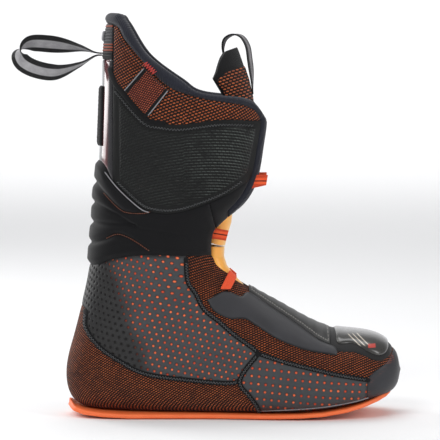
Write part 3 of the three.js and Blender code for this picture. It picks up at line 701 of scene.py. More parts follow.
def meshCloth(name, pitch, thread, dark, ground, turn, wide, tall):
    # open weave: short bright threads in staggered rows over a black ground
    sh = Shader(name)
    u, v = turned(*sh.layer("flat"), turn)
    across, up, column, row = staggered(u, v + sh.noise(0.05, 2) * 1.2, *pitch, 0.2)
    bar = across.hump(wide, 3) * up.hump(tall, 2)
    mask = bar.ramp(0.12, 0.55)
    tone = sh.chance(column, row) * 0.5 + sh.noise(0.035) * 0.9 - 0.25
    fibre = sh.noise(3.2, 2)
    under = sh.mix(fibre, srgb(*ground), tuple(2.4 * c for c in srgb(*ground)))
    colour = sh.mix(mask, under, sh.mix(tone.held(), srgb(*dark), srgb(*thread)))
    return sh.finish(colour, 0.86 - mask * 0.28 + fibre * 0.06, bar + fibre * 0.12, 0.9, 0.7, sheen=0.05,
                     specular=0.25)


def perforatedFilm(name, turn, pitch, rise, shift, hole, dark):
    # a coated panel with round holes in which an under-layer shows
    sh = Shader(name)
    x, _, z = sh.xyz
    across, up, column, row = staggered(*turned(*sh.layer("flat"), turn), pitch, rise, shift=shift)
    gap = ((across * pitch) ** 2 + (up * rise) ** 2) ** 0.5
    core = ((across * pitch - 0.15) ** 2 + (up * rise + 0.18) ** 2) ** 0.5
    opening = 1 - gap.ramp(hole - 0.25, hole + 0.15)
    plug = 1 - core.ramp(hole * 0.45, hole * 0.95)
    # painted light: the under-layer is painted bright on the bulge and in front, and black in painted shade
    # behind and below it
    lit = (x + z * 0.35 + sh.noise(0.03, 2) * 12).ramp(*dark)
    bright = sh.mix(sh.chance(column, row), srgb(196, 66, 38), srgb(244, 122, 74))
    under = sh.mix(plug * lit, sh.mix(lit, srgb(14, 12, 12), srgb(92, 28, 18)), bright)
    cloud = sh.noise(0.03, 4)
    grain = sh.noise(2.4, 4, 0.7)
    # painted light on the film as well: lighter grey in front and higher up, darker brown in painted shade behind
    # and below
    shade = sh.mix((lit * 0.72 + cloud * 0.4 - 0.05).held(), srgb(27, 25, 24), srgb(66, 69, 72))
    worn = sh.layer("border")[1].ramp(0.4, 3.5)
    colour = sh.mix(opening, sh.mix(worn * 0.8 + grain * 0.2, srgb(18, 17, 18), shade), under)
    return sh.finish(colour, 0.42 + grain * 0.16 + opening * 0.2, grain * 0.12 - opening * 0.9, 0.75, 0.8,
                     coat=0.06, coatRough=0.35, specular=0.35)


def softFilm(name, base, light, roughness, grainScale, coat, coatRough, edgeDark, bump, threads=None):
    # a smooth bonded film, darker at its border, with fine grain and cloudy wear
    sh = Shader(name)
    cloud = sh.noise(0.028, 4)
    grain = sh.noise(grainScale, 5, 0.65)
    run, depth = sh.layer("border")
    colour = sh.mix((cloud * 1.3 - 0.2).held(), srgb(*base), srgb(*light))
    colour = sh.mix(depth.ramp(0.2, edgeDark), tuple(0.25 * c for c in srgb(*base)), colour)
    height = grain * 0.5
    if threads:
        # dashes of thread sewn along the border
        line = depth.near(threads["inset"], 0.2, 0.45)
        stitched = (run / threads["pitch"]).fract().between(0.12, 0.22, 0.78, 0.88) * line
        colour = sh.mix(stitched, colour, srgb(*threads["colour"]))
        height = height + stitched * 1.5 - line * 0.7
    return sh.finish(colour, roughness + grain * 0.1 + cloud * 0.06, height, bump, 0.7, coat=coat,
                     coatRough=coatRough, specular=0.35)


def embossedFilm(name):
    # near-black film embossed with rows of small bricks that rise to a sloped edge
    sh = Shader(name)
    u, v = sh.layer("flat")
    arc = v + ((u - 10) ** 2) * 0.0016
    across, up, column, row = staggered(u + arc * 0.12, arc, 4.6, 2.5)
    tone = sh.chance(column, row)
    rise = across.hump(0.47, 6) * up.hump(0.44, 4)
    face = sh.layer("border")[1].ramp(6.4, 7.6)
    grain = sh.noise(2.5, 4, 0.6)
    colour = sh.mix((tone * 0.6 + grain * 0.5 - 0.2).held(), srgb(8, 9, 9), srgb(19, 21, 20))
    colour = sh.mix(1 - face, colour, srgb(13, 14, 14))
    # painted highlight: the upper edge of each brick is painted brighter towards the front, in patches
    paintedLipHighlight = up.ramp(0.02, 0.3) * rise.ramp(0.1, 0.5) * face
    front = sh.xyz[0].ramp(-45, 38) * 0.85 + 0.12
    highlightPatches = sh.noise(0.05).ramp(0.35, 0.6) * 0.6 + tone * 0.5
    colour = sh.mix((paintedLipHighlight * front * highlightPatches).least(1), colour, srgb(104, 112, 107))
    height = rise * (0.55 + up * 0.9 + tone * 0.25) * face + grain * 0.08
    return sh.finish(colour, 0.36 + grain * 0.12 + (1 - face) * 0.25, height, 0.9, 1.3, coat=0.1,
                     coatRough=0.24, specular=0.2)


def spineFilm(name):
    # gloss film of the heel spine: a painted pale reflection at the very back, a dark red band, then black
    sh = Shader(name)
    _, y, z = sh.xyz
    grain = sh.noise(1.2)
    # painted reflection: a pale vertical stripe down the very back of the spine
    paintedReflection = (1 - abs(y).ramp(15, 22)) * z.between(222, 250, 296, 311)
    colour = sh.mix(grain, srgb(24, 22, 25), srgb(36, 34, 38))
    colour = sh.mix(abs(y).between(20, 25, 29, 33) * 0.85, colour, srgb(96, 22, 26))
    colour = sh.mix(paintedReflection * 0.9, colour, srgb(138, 140, 144))
    return sh.finish(colour, 0.16 + grain * 0.08, grain, 0.05, 0.3, coat=0.8, coatRough=0.06)


def knitCloth(name, base, light, pitch, sheen, roughness, bump, rib=0.0):
    # fine knit: small loops both ways over a soft cloth
    sh = Shader(name)
    x, y, z = sh.xyz
    fuzz = sh.noise(1.9, 5, 0.7)
    height = (x + y * 0.7).wave(pitch) * (z + y * 0.35).wave(pitch) * 0.3 + fuzz * 0.7
    if rib:
        height = height + sh.layer("flat")[0].wave(rib) * 0.9
    colour = sh.mix((fuzz * 0.8 + sh.noise(0.04) * 0.5 - 0.25).held(), srgb(*base), srgb(*light))
    return sh.finish(colour, roughness + fuzz * 0.08, height, bump, 0.4, sheen=sheen, sheenRough=0.5,
                     specular=0.14)


def webbingCloth(name, width, centre, rib, tones, stripe=None):
    # narrow webbing: ribbed edges and a twill centre, from its own run and width; tones are the
    # centre's dark and light, then the edges'
    sh = Shader(name)
    run, across = sh.layer("flat")
    fromCentre = abs(across) / (width / 2)
    middle = 1 - fromCentre.ramp(centre - 0.05, centre + 0.05)
    ribs = (run + abs(across) * 0.8).wave(rib)
    twill = (run * 0.7 + across).wave(1.1)
    fuzz = sh.noise(1.5, 4)
    darkCentre, lightCentre, darkEdge, lightEdge = (srgb(*tone) for tone in tones)
    colour = sh.mix((twill * 0.22 + sh.noise(0.09) * 0.9 + 0.02).held(), darkCentre, lightCentre)
    colour = sh.mix(middle, sh.mix((ribs * 0.35 + 0.4).held(), darkEdge, lightEdge), colour)
    if stripe:
        colour = sh.mix(1 - fromCentre.ramp(stripe - 0.04, stripe + 0.04), colour, srgb(40, 14, 12))
    height = middle * twill * 0.35 + (1 - middle) * ribs * 0.9 + fuzz * 0.3
    return sh.finish(colour, 0.62 + fuzz * 0.2, height, 0.6, 0.6, sheen=0.05, specular=0.25)


def tabCloth(name):
    # ribs of red-brown thread that turn to grey plastic round the badge and to black below it
    sh = Shader(name)
    z = sh.xyz[2]
    rib = z.wave(tabRib) * 0.5 + 0.5
    fuzz = sh.noise(2.2, 4)
    colour = sh.mix(rib.ramp(0.25, 0.75), srgb(22, 10, 8), srgb(150, 68, 42))
    colour = sh.mix(fuzz * 0.4, colour, srgb(60, 26, 18))
    colour = sh.mix(1 - z.ramp(318, 321), colour, srgb(10, 10, 12))
    colour = sh.mix(z.between(325.5, 326.5, 339, 340), colour, srgb(44, 44, 48))
    return sh.finish(colour, 0.55 + fuzz * 0.2, rib * 0.8 + fuzz * 0.3, 0.5, 0.6, specular=0.3)


def tonguePlastic(name):
    # bendy plastic: warm yellow with painted shading, paler to the front edge and deeper orange towards the
    # sides, and a soft vertical grain
    sh = Shader(name)
    x, y, z = sh.xyz
    streak = sh.noise(0.35, 4, vector=sh.joined(x * 0.9, y * 0.9, z * 0.12))
    speck = sh.noise(1.1)
    colour = sh.mix((streak * 1.2 - 0.15).held(), srgb(255, 196, 96), srgb(255, 178, 72))
    # painted shading: deeper orange towards the sides, paler at the front edge
    colour = sh.mix(abs(y).ramp(4, 17) * 0.45, colour, srgb(255, 158, 52))
    return sh.finish(colour, 0.34 + speck * 0.12, streak * 0.5 + speck * 0.3, 0.12, 0.5, coat=0.2,
                     coatRough=0.2, subsurface=0.18, subsurfaceScale=0.004)


def soleRubber(name):
    # orange rubber with darker specks and faint ribs across
    sh = Shader(name)
    speck = sh.noise(1.4, 4, 0.7)
    ribs = (sh.xyz[0] * 0.9).sine()
    colour = sh.mix((sh.noise(0.05, 4) * 1.1 - 0.1).held(), srgb(255, 128, 72), srgb(247, 108, 52))
    colour = sh.mix(speck.ramp(0.62, 0.8) * 0.35, colour, srgb(205, 84, 44))
    return sh.finish(colour, 0.46 + speck * 0.14, speck * 0.6 + ribs * 0.03, 0.15, 0.5, subsurface=0.08,
                     subsurfaceScale=0.002)


def capRubber(name):
    # mesh under a rubber coat: a faint diamond weave shows through
    sh = Shader(name)
    across, up, _, _ = staggered(*sh.layer("flat"), 2.1, 1.7)
    bead = across.hump(0.5, 2) * up.hump(0.5, 2)
    grain = sh.noise(1.9, 4)
    cloud = sh.noise(0.04)
    colour = sh.mix((cloud + grain * 0.3 - 0.2).held(), srgb(15, 16, 21), srgb(33, 34, 42))
    orange = (1 - sh.layer("border")[1].ramp(0.5, 6)) * bead.ramp(0.3, 0.8) * cloud.ramp(0.42, 0.6)
    colour = sh.mix(orange * 0.6, colour, srgb(150, 70, 40))
    return sh.finish(colour, 0.5 + grain * 0.14, bead * 0.5 + grain * 0.2, 0.3, 0.5, coat=0.15, coatRough=0.4)


def bumperFilm(name):
    # gloss film with slanted light slashes and a short red bar on its outer side
    sh = Shader(name)
    x, y, z = sh.xyz
    grain = sh.noise(1.0)
    colour = sh.mix(sh.noise(0.06), srgb(28, 27, 26), srgb(58, 56, 52))
    outer = (0 - y).ramp(6, 9)
    for centre in (126.5, 130.5, 134.5):
        slash = (x - (70 - z) * 1.1).near(centre, 0.35, 0.75) * outer * z.between(63.5, 65, 72.5, 74)
        colour = sh.mix(slash * 0.8, colour, srgb(205, 195, 180))
    bar = x.near(143, 3.0, 3.6) * z.near(64, 1.3, 1.8) * outer
    colour = sh.mix(bar * 0.85, colour, srgb(190, 62, 52))
    return sh.finish(colour, 0.24 + grain * 0.1, grain, 0.08, 0.4, coat=0.6, coatRough=0.1)


def plainCloth(name, base, light, roughness, scale, bump, sheen, metallic=0.0):
    # one fuzzy tone between dark and light
    sh = Shader(name)
    fuzz = sh.noise(scale, 5, 0.7)
    colour = sh.mix((fuzz + sh.noise(0.05) * 0.4 - 0.3).held(), srgb(*base), srgb(*light))
    return sh.finish(colour, roughness + fuzz * 0.1, fuzz, bump, 0.5, sheen=sheen, metallic=metallic,
                     specular=0.3)


tabRib = 2.6
holes = {  # turn and pitch of the rows of holes, their distance apart, shift of every second row, radius
    "ankleFilm": {"turn": -14, "pitch": 6.1, "rise": 5.3, "shift": 0.5, "hole": 1.3},
    "forefootFilm": {"turn": -5, "pitch": 6.3, "rise": 6.6, "shift": 0, "hole": 1.35},
}
looks = {
    # pitch both ways, thread, its dark tone, ground, turn, and half a thread's width and height
    meshCloth: {
        "heelWeave": ((2.6, 1.8), (214, 112, 58), (104, 46, 22), (13, 7, 5), 33, 0.4, 0.27),
        "vampWeave": ((2.7, 2.0), (214, 104, 44), (104, 44, 18), (12, 7, 5), 27, 0.38, 0.25),
        "collarWeave": ((3.3, 2.5), (216, 112, 58), (120, 52, 26), (13, 8, 6), 18, 0.38, 0.27),
        "patchWeave": ((2.2, 1.9), (206, 104, 72), (132, 52, 34), (26, 11, 9), 45, 0.36, 0.32),
    },
    # the holes, and where the painted light on the under-layer turns from black to bright
    perforatedFilm: {
        "ankleFilm": (*holes["ankleFilm"].values(), (-38, -20)),
        "forefootFilm": (*holes["forefootFilm"].values(), (-200, -190)),
    },
    # dark, light, roughness, grain, coat and its roughness, width of the dark border, bump, stitching
    softFilm: {
        "satinFilm": ((32, 32, 35), (60, 60, 64), 0.36, 1.4, 0.2, 0.3, 1.6, 0.1),
        "instepFilm": ((26, 26, 26), (48, 48, 47), 0.42, 1.8, 0.15, 0.35, 1.4, 0.16,
                       {"pitch": 2.4, "inset": 2.2, "colour": (112, 110, 106)}),
    },
    # dark, light, pitch of the loops, sheen, roughness, bump, pitch of its ribs
    knitCloth: {
        "neoprene": ((6, 6, 7), (19, 19, 22), 0.9, 0.12, 0.66, 0.25),
        "binding": ((20, 21, 27), (47, 49, 60), 0.8, 0.18, 0.74, 0.4, 2.4),
        "edging": ((8, 8, 9), (26, 26, 28), 0.8, 0.1, 0.75, 0.35),
        "lining": ((11, 11, 13), (28, 28, 32), 1.3, 0.2, 0.86, 0.4),
    },
    # dark, light, roughness, grain, bump, sheen, metal
    plainCloth: {
        # recess: near-black, partly a black border round the toe bumper, partly painted shade of its recess
        "recess": ((10, 10, 11), (24, 23, 24), 0.6, 1.5, 0.3, 0.1),
        "pile": ((3, 3, 4), (16, 16, 18), 0.95, 0.9, 1.0, 0.15),
        "felt": ((58, 60, 66), (92, 94, 100), 0.92, 1.6, 0.5, 0.3),
        "badge": ((112, 112, 116), (150, 150, 154), 0.3, 0.9, 0.05, 0.0),
        "silver": ((120, 120, 124), (170, 170, 174), 0.35, 2.5, 0.15, 0.0, 0.35),
        "blackThread": ((16, 16, 18), (48, 48, 52), 0.6, 3.0, 0.3, 0.3),
        "greyThread": ((58, 60, 62), (98, 100, 102), 0.55, 3.0, 0.3, 0.3),
        "brownThread": ((96, 46, 24), (160, 84, 44), 0.6, 3.0, 0.3, 0.3),
        "redThread": ((170, 40, 34), (214, 66, 52), 0.6, 3.0, 0.3, 0.3),
        "laceCloth": ((206, 56, 26), (255, 108, 60), 0.7, 1.6, 0.6, 0.1),
        "glue": ((116, 116, 120), (176, 176, 180), 0.25, 1.2, 0.15, 0.0),
    },
    # width, share of it that is centre, pitch of the ribs, tones, half width of the middle stripe
    webbingCloth: {
        "pullWebbing": (20, 0.46, 1.9, ((96, 96, 100), (214, 212, 214), (4, 4, 5), (30, 30, 32))),
        "tongueWebbing": (15, 0.5, 1.9, ((72, 72, 76), (158, 154, 156), (5, 5, 6), (40, 40, 43))),
        "laceWebbing": (8, 0.72, 1.0, ((226, 62, 26), (255, 112, 64), (190, 48, 22), (250, 104, 62)), 0.12),
    },
    embossedFilm: {"embossed": ()}, spineFilm: {"spine": ()}, tabCloth: {"tab": ()},
    tonguePlastic: {"tongue": ()}, soleRubber: {"sole": ()}, capRubber: {"cap": ()},
    bumperFilm: {"bumper": ()},
}
finishes = {name: make(name, *look) for make, named in looks.items() for name, look in named.items()}
print("finishes made:", len(finishes))

# Lines of the side view that the pieces share, toe to the right.
seams = {
    "ankle": [[-140, 133], [-99.5, 134], [-85, 139], [-72, 142], [-49, 144], [4, 142]],
    "throatLow": [[4, 142], [8.5, 135], [18, 126], [25, 120], [38.5, 112]],
    "throatHigh": [[4, 142], [4, 154], [5.5, 162], [10.5, 168], [17.5, 174], [28.5, 182], [34.5, 187]],
    "panelLow": [[-140, 226], [-95.5, 225.5], [-82, 208], [-70, 196], [-58, 185.5], [-50, 182], [-35, 180],
                 [-18, 182.5], [7.5, 191.5], [22, 199], [36.5, 209], [46, 216], [90, 250]],
    "panelTop": [[-84, 304], [-79.5, 292.5], [-72, 283.5], [-52.5, 262], [-40.5, 258.5], [-22, 257], [11, 261],
                 [47.5, 259.5], [90, 258]],
    "bindingLow": [[-140, 344], [-84, 343], [-71, 329], [-55, 310.5], [-32.5, 289], [-5, 279.5], [11, 276.5],
                   [30, 273.5], [41, 268.5], [47, 260], [60, 232]],
    "bindingTop": [[-140, 353], [-83, 353], [-73, 347], [-52.5, 317.5], [-22, 295], [-5, 284.5], [33.5, 279.5],
                   [44.5, 272], [52, 261], [70, 233]],
    "flex": [[-140, 190], [-99, 188], [-78, 165], [-50, 151], [-20, 154], [5, 162.5]],
    "heelTop": [[-140, 97], [-109, 97], [-106, 80], [-94.5, 64.5], [-76, 51.5], [-52, 40], [-3, 34], [20.5, 33],
                [28, 35.5]],
    "midfoot": [[44, 59], [28, 35.5], [37, 21], [44, 9.5], [46, -10]],
    "ankleFront": [[-18.5, 146], [-18.5, 137.5], [-17, 120], [-10, 109.5], [-3, 96.5], [10, 86], [23, 75],
                   [39.5, 63.5], [44, 59]],
    "forefootTop": [[44, 59], [66.5, 52], [91, 46], [115.5, 40], [139.5, 35]],
    "toeCap": [[139, -20], [139, 16.5], [139.5, 35], [145.5, 42], [157, 49.5], [164, 58], [185, 80]],
    "instepEdge": [[36, 109.5], [54.5, 97.5], [78.5, 82], [97, 69.5], [111, 63.5]],
}
seams = {name: smooth(points) for name, points in seams.items()}
outerSide, innerSide = (0.003, 0.997), (-0.997, -0.003)
sides = (("lateral", 1, outerSide), ("medial", -1, innerSide))
overBack = (-1.0, 1.0)
farInside = 50  # the depth of a place that a limit leaves alone
backEnd, soleEnd, topEnd = -140, -60, 420  # well past the boot, so that an outline closes outside it


def around(*parts):
    # one closed outline from lines and points, in order; a name ending in - is a seam taken backwards
    lines = [seams[part.rstrip("-")][::-1 if part.endswith("-") else 1] if isinstance(part, str) else part
             for part in parts]
    return np.concatenate([np.asarray(line, float).reshape(-1, 2) for line in lines])


def stretch(name, low, high):
    # the part of a seam between two places along the boot
    line = seams[name]
    return line[(line[:, 0] > low) & (line[:, 0] < high)]


def dimples(turn, pitch, rise, shift, hole, depth):
    # the same grid of holes as in the film, as dents in the skin
    def relief(u, v, x, y, z, border):
        u, v = turned(u, v, turn)
        across = np.mod(u / pitch + np.mod(np.floor(v / rise) * shift, 1), 1) - 0.5
        gap = np.hypot(across * pitch, (np.mod(v / rise, 1) - 0.5) * rise)
        return -depth / (1 + np.exp((gap - hole + 0.05) / 0.18))

    return relief


# Foot skins: outline, finish, slot, shape.
footSkins = {
    "heel_mesh": (
        around("heelTop", seams["midfoot"][8:], [[46, soleEnd], [backEnd, soleEnd]]), "heelWeave", "mesh",
        {"cell": 1.3, "lift": -0.1, "edge": (0.5, 1.4)}),
    "ankle_panel": (
        around("heelTop-", [[backEnd, 133]], seams["ankle"][2:], [[-18.5, 143]], seams["ankleFront"][3:],
               seams["midfoot"][:10]), "ankleFilm", "perforated",
        {"cell": 0.95, "lift": 0.35, "edge": (0.7, 2.2), "relief": dimples(**holes["ankleFilm"], depth=0.75)}),
    "forefoot_panel": (
        around("forefootTop", [[139, 16.5], [139, soleEnd], [46, soleEnd]], "midfoot-"), "forefootFilm",
        "perforated", {"cell": 0.95, "lift": 0.2, "edge": (0.6, 1.8), "weave": (0, 0),
                       "relief": dimples(**holes["forefootFilm"], depth=0.7)}),
    "vamp_mesh": (
        around("ankleFront", "forefootTop", seams["toeCap"][12:], [[185, 200], [39, 200]], "throatLow-",
               [[-18.5, 142.5]]), "vampWeave", "mesh",
        {"cell": 1.3, "lift": -0.05, "edge": (0.45, 1.2), "weave": (-0.6, -0.7)}),
}
for side, sign, shares in sides:
    for name, (outline, finish, slot, shape) in footSkins.items():
        skin(side + "_" + name, within(outline), finish, slot, "foot", shares=shares, rows=(0.05, 19), **shape)
print("foot skins made")

# Regions of the shaft. A wing folds about a line that leans forward from its foot.
fold = {"foot": (10.5, 155), "way": np.array([0.9695, 0.2452]), "reach": 8, "halfWidth": 61}
slotHalf = 26.4
shaftFront = 18  # ahead of this a place is on the front of the shaft
spineEdge = -81.8


def aheadOfFold(x, y, z):
    return (x - fold["foot"][0]) * fold["way"][0] + (z - fold["foot"][1]) * fold["way"][1] - 0.3


def behindFold(x, y, z):
    return -aheadOfFold(x, y, z) - 0.6


def besideSlot(width):
    # on the front of the shaft, only what lies further out than width
    return lambda x, y, z: np.where(x > shaftFront, np.abs(y) - width, farInside)


def roundShaft(x, y, z):
    # unrolls the back and the front of the shaft away from its widest line
    return x + np.sign(x + 20) * (58 - np.abs(y)), z


def aheadOfSpine(x, y, z):
    return x - spineEdge - 0.1


def foldBend(sign):
    # cloth crosses the fold line of a wing within its reach each way
    middle = np.array([fold["foot"][0], -sign * fold["halfWidth"], fold["foot"][1]])
    reach = fold["reach"] * np.array([fold["way"][0], 0, fold["way"][1]])
    wing = "lateral_wing" if sign > 0 else "medial_wing"
    return ("cuff", wing, tuple((middle - reach) * mm), tuple((middle + reach) * mm))


ankleBend = ("foot", "cuff", (-0.05, 0, 0.1415), (-0.05, 0, 0.1635))
shaftOutline = around("bindingTop", [[100, 233], [100, 187]], "throatHigh-", [[backEnd, 142]])
overPanelLow = inside(around("panelLow", [[90, 400], [backEnd, 400]]))
underPanelLow = inside(around("panelLow", [[90, 0], [backEnd, 0]]))
overBindingLow = inside(around("bindingLow", [[100, 232], [100, topEnd], [backEnd, topEnd]]))
underBinding = inside(around("bindingLow", [[60, 100], [backEnd, 100]]))
overFlex = inside(around("flex", [[100, 163], [100, topEnd], [backEnd, topEnd]]))
inShaft = inside(shaftOutline)


# The foot's bonded overlays, its cap and its bumper in a recess.
def ridges(u, v, x, y, z, depth):
    # low ridges run with the front edge of the cover
    along = (x - 36) * 0.86 - (z - 109.5) * 0.51
    return 0.16 * np.sin(along * 0.62) * np.clip(depth / 3, 0, 1) - 0.2 * np.exp(-((depth - 2.2) / 0.5) ** 2)


eyestay = [[-0.5, 104.5], [7, 108.3], [14.5, 111.5], [22, 109.5], [29, 106.5], [36, 109.5], [54.5, 97.5],
           [78.5, 82], [97, 69.5], [111, 63.5], [112, 57.5], [103, 58.5], [85, 62], [62, 70.5], [42, 82.5],
           [32.5, 88], [18, 88.5], [5.5, 95], [-0.5, 104.5]]
for side, sign, shares in sides:
    skin(side + "_eyestay", within(smooth(eyestay)), "satinFilm", "satin", "foot", shares=shares, rows=(4, 18),
         cell=0.9, lift=1.25, thickness=1.2, edge=(0.7, 0.7))
overlays = {  # outline, finish, slot, shape
    "instep_cover": (
        around(seams["instepEdge"][:-3], [[107, 65.5], [107, 125], [36, 125]]), "instepFilm", "satin",
        {"shares": (0.4, 1.6), "rows": (3, 12), "cell": 1.0, "lift": 1.3, "thickness": 1.2, "edge": (0.6, 0.9),
         "relief": ridges, "weave": (0, 1)}),
    "toe_bumper": (
        smooth([[112, 90], [112, 72], [114, 66], [127.5, 65.5], [139.5, 59], [148.5, 55.5], [156, 58],
                [159, 66], [160, 90]]), "bumper", "bumper",
        {"shares": (0.3, 1.7), "rows": (1, 7), "cell": 0.8, "lift": 2.3, "thickness": 2.0, "edge": (1.5, 1.0),
         "weave": (0, 1)}),
    # a dark sheet round the bumper: partly a black border, partly painted shade under the bumper's raised edge
    "toe_recess": (
        smooth([[105, 95], [105, 67], [113, 60.5], [128, 59], [140, 54], [149, 51], [158, 54], [163, 62],
                [164, 92]]), "recess", "bumper",
        {"shares": (0.3, 1.7), "rows": (1, 8), "cell": 1.1, "lift": 0.35, "thickness": 0.8, "edge": (0.3, 1.0),
         "weave": (0, 1)}),
    "toe_cap": (
        around("toeCap", [[220, 80], [220, soleEnd], [139, soleEnd]]), "cap", "toe_rubber",
        {"shares": (0, 2), "rows": (0.0, 6), "cell": 1.1, "lift": 0.4, "thickness": 1.2, "edge": (0.6, 1.4)}),
}
for name, (outline, finish, slot, shape) in overlays.items():
    skin(name, within(outline), finish, slot, "foot", **shape)
print("overlays made")

# The neoprene band over the ankle joint, with its Achilles ribs.
creases = [smooth(line) for line in (
    [[-97, 206], [-85, 193], [-76, 184.5], [-69, 181], [-56, 180.5], [-49, 182]],
    [[-99, 188], [-81, 180.5], [-66.5, 172], [-56, 167], [-24, 162], [-17, 157.5]],
    [[-103, 170.5], [-74, 170.5], [-62, 170.5]],
    [[-104, 152], [-88, 157.5], [-78, 162], [-69, 160], [-60, 155], [-50, 148]])]


def anklePuff(u, v, x, y, z, depth):
    # fullness at the rear that sinks along every crease
    rear = eased(np.clip((-46 - x) / 34, 0, 1))
    puff = 2.1 * rear * np.clip(depth / 4, 0, 1)
    for line in creases:
        gap, _ = lineFacts(line, x, z)
        puff = puff - (0.5 + 2.4 * rear) * np.exp(-(gap / (1.1 + 1.6 * rear)) ** 2)
    return puff + 0.9 * np.clip(depth / 5, 0, 1)


region = within(around("ankle", [[4, 154], [5.5, 162], [8, 166], [14, 215], [backEnd, 240]]), underPanelLow,
                behindFold)
skin("ankle_band", region, "neoprene", "neoprene", ankleBend, shares=overBack, rows=(11, 25), cell=1.25,
     lift=0.1, thickness=1.1, edge=(0.9, 1.1), relief=anklePuff)
for side, sign, shares in sides:
    region = within(shaftOutline, underPanelLow, aheadOfFold, besideSlot(slotHalf))
    skin(side + "_wing_trim", region, "neoprene", "neoprene", side + "_wing", shares=shares, rows=(17, 25),
         lift=0.1, thickness=1.0, edge=(0.8, 1.0))
print("ankle band made")


# Cuff panels and collar mesh: each is one cloth from the spine over the fold line to the wing.
def panelSwell(u, v, x, y, z, depth):
    # the field swells a little inside its sewn border
    return 0.45 * eased(np.clip((depth - 5.5) / 2, 0, 1)) + 0.5 * np.exp(-depth ** 2) * (x > shaftFront)


panel = around("panelTop", [[100, 258], [100, 187]], "throatHigh-", [[-84, 142]])
collar = around(stretch("panelTop", -82, 47), stretch("bindingLow", -82, 47)[::-1])
for side, sign, shares in sides:
    region = within(panel, overPanelLow, aheadOfSpine, besideSlot(slotHalf), underBinding)
    skin(side + "_cuff_panel", region, "embossed", "embossed", foldBend(sign),
         [side + "_cuff_panel", side + "_wing_panel"], shares=shares, rows=(17, 29), cell=1.15, lift=0.15,
         thickness=1.1, edge=(0.6, 0.9), relief=panelSwell, weave=roundShaft)
    skin(side + "_collar_mesh", within(collar, besideSlot(slotHalf)), "collarWeave", "mesh", foldBend(sign),
         [side + "_collar_mesh", side + "_wing_mesh"], shares=shares, rows=(19, 29), cell=1.15, lift=-0.05,
         edge=(0.5, 1.0), weave=roundShaft)
print("cuff skins made")


# Spine, rear tab with its badge, hook strip and patch.
def band(low, high, half):
    return lambda x, y, z: np.minimum(np.minimum(z - low, high - z), half - np.abs(y))


def tabRibs(u, v, x, y, z, depth):
    return 0.35 * np.sin(z * fullTurn / tabRib) * np.clip(depth / 2, 0, 1)


def pile(u, v, x, y, z, depth):
    # short pile: two crossed waves of unlike pitch
    return 0.28 * np.sin(z * 2.9 + y) * np.sin(y * 3.1 - z * 0.6) + 0.16 * np.sin(z * 5.3 - y * 2.2)


behind = [[spineEdge - 0.1, 150], [spineEdge - 0.1, 400], [-160, 400], [-160, 150]]
spineParts = {  # limits, finish, slot, half the share of the girth, shape
    "spine_panel": ((overPanelLow, band(200, 312.2, 90)), "spine", "gloss_panel", 0.6,
                    {"rows": (19, 29), "lift": 0.3, "thickness": 1.2, "edge": (0.5, 0.8)}),
    "rear_tab": ((underBinding, band(312.7, 400, 90)), "tab", "webbing", 0.6,
                 {"rows": (24, 29), "cell": 0.8, "lift": 0.3, "thickness": 1.2, "edge": (0.5, 0.8),
                  "relief": tabRibs}),
    "rear_badge": ((band(328.5, 337, 13),), "badge", "badge", 0.3,
                   {"rows": (26, 29), "cell": 0.6, "lift": 2.5, "thickness": 2.2, "edge": (1.0, 0.7)}),
    "hook_strip": ((band(237.5, 289.5, 22),), "pile", "hook_strip", 0.5,
                   {"rows": (22, 28), "cell": 0.6, "lift": 2.6, "thickness": 2.3, "edge": (1.6, 1.3),
                    "relief": pile}),
}
for name, (limits, finish, slot, half, shape) in spineParts.items():
    skin(name, within(behind, *limits), finish, slot, "cuff", shares=(-half, half), **shape)
corners = smooth(evenly([[-52.5, 304.5], [-34, 286.5], [-51, 264.2], [-69, 285], [-52.5, 304.5]], 6))
skin("cuff_patch", within(corners), "patchWeave", "mesh", "cuff", shares=outerSide, rows=(22, 29), cell=0.9,
     lift=1.3, thickness=1.2, edge=(0.7, 0.8))
for index, (line, inward) in enumerate((([[-53.5, 305], [-70, 286]], 1.9), ([[-33.5, 286], [-50, 265]], -1.9))):
    skin("patch_border_%d" % index, beside(np.array(line) + [inward, 0], 1.7), "edging", "neoprene", "cuff",
         shares=outerSide, rows=(22, 29), cell=0.7, lift=1.65, thickness=1.2, edge=(0.5, 0.6))
    dress(piping("patch_piping_%d" % index, smooth(line), 1, 1.5, 0.5), "silver", "cuff")
line = smooth([[-89, 216.5], [-76, 201], [-58, 185], [-50, 181.5]])
dress(piping("ankle_piping", line, 1, 0.9, 0.5), "silver", "cuff")
tack = {"line": smooth([[-52.5, 309.5], [-44, 301]]), "side": 1, "pitch": 1.15, "width": 5.0, "gap": 0.05,
        "lift": 3.0}
dress(stitchRows("bar_tack", [tack], 0.38, 0.3), "redThread", "cuff")
print("spine made")


# The rolled collar binding of each side, from the back over the fold and down the front edge.
def bindingField(x, y, z):
    _, run = lineFacts(seams["bindingTop"], x, z)
    front = np.where(x > shaftFront, slotHalf - 0.4 - np.abs(y), -farInside)
    depth = np.minimum(inShaft(x, y, z), np.maximum(overBindingLow(x, y, z), front))
    return np.minimum(depth, besideSlot(13)(x, y, z)), run


def bindingRoll(u, v, x, y, z, depth):
    # a rounded roll with a groove for its stitching
    return 1.1 * np.clip(depth / 3.5, 0, 1) ** 0.7 - 0.35 * np.exp(-((depth - 2.4) / 0.35) ** 2)


halves = {1: (0, 1), -1: (-1, 0)}
for side, sign, shares in sides:
    piece = skin(side + "_binding", bindingField, "binding", "binding", foldBend(sign),
                 ["collar_binding", side + "_wing_binding"], shares=halves[sign], rows=(19, 29), cell=0.95,
                 lift=1.2, thickness=9.9, edge=(2.6, 1.5), relief=bindingRoll, hem=(3.0, 1.6, 0.0))
print("bindings made")

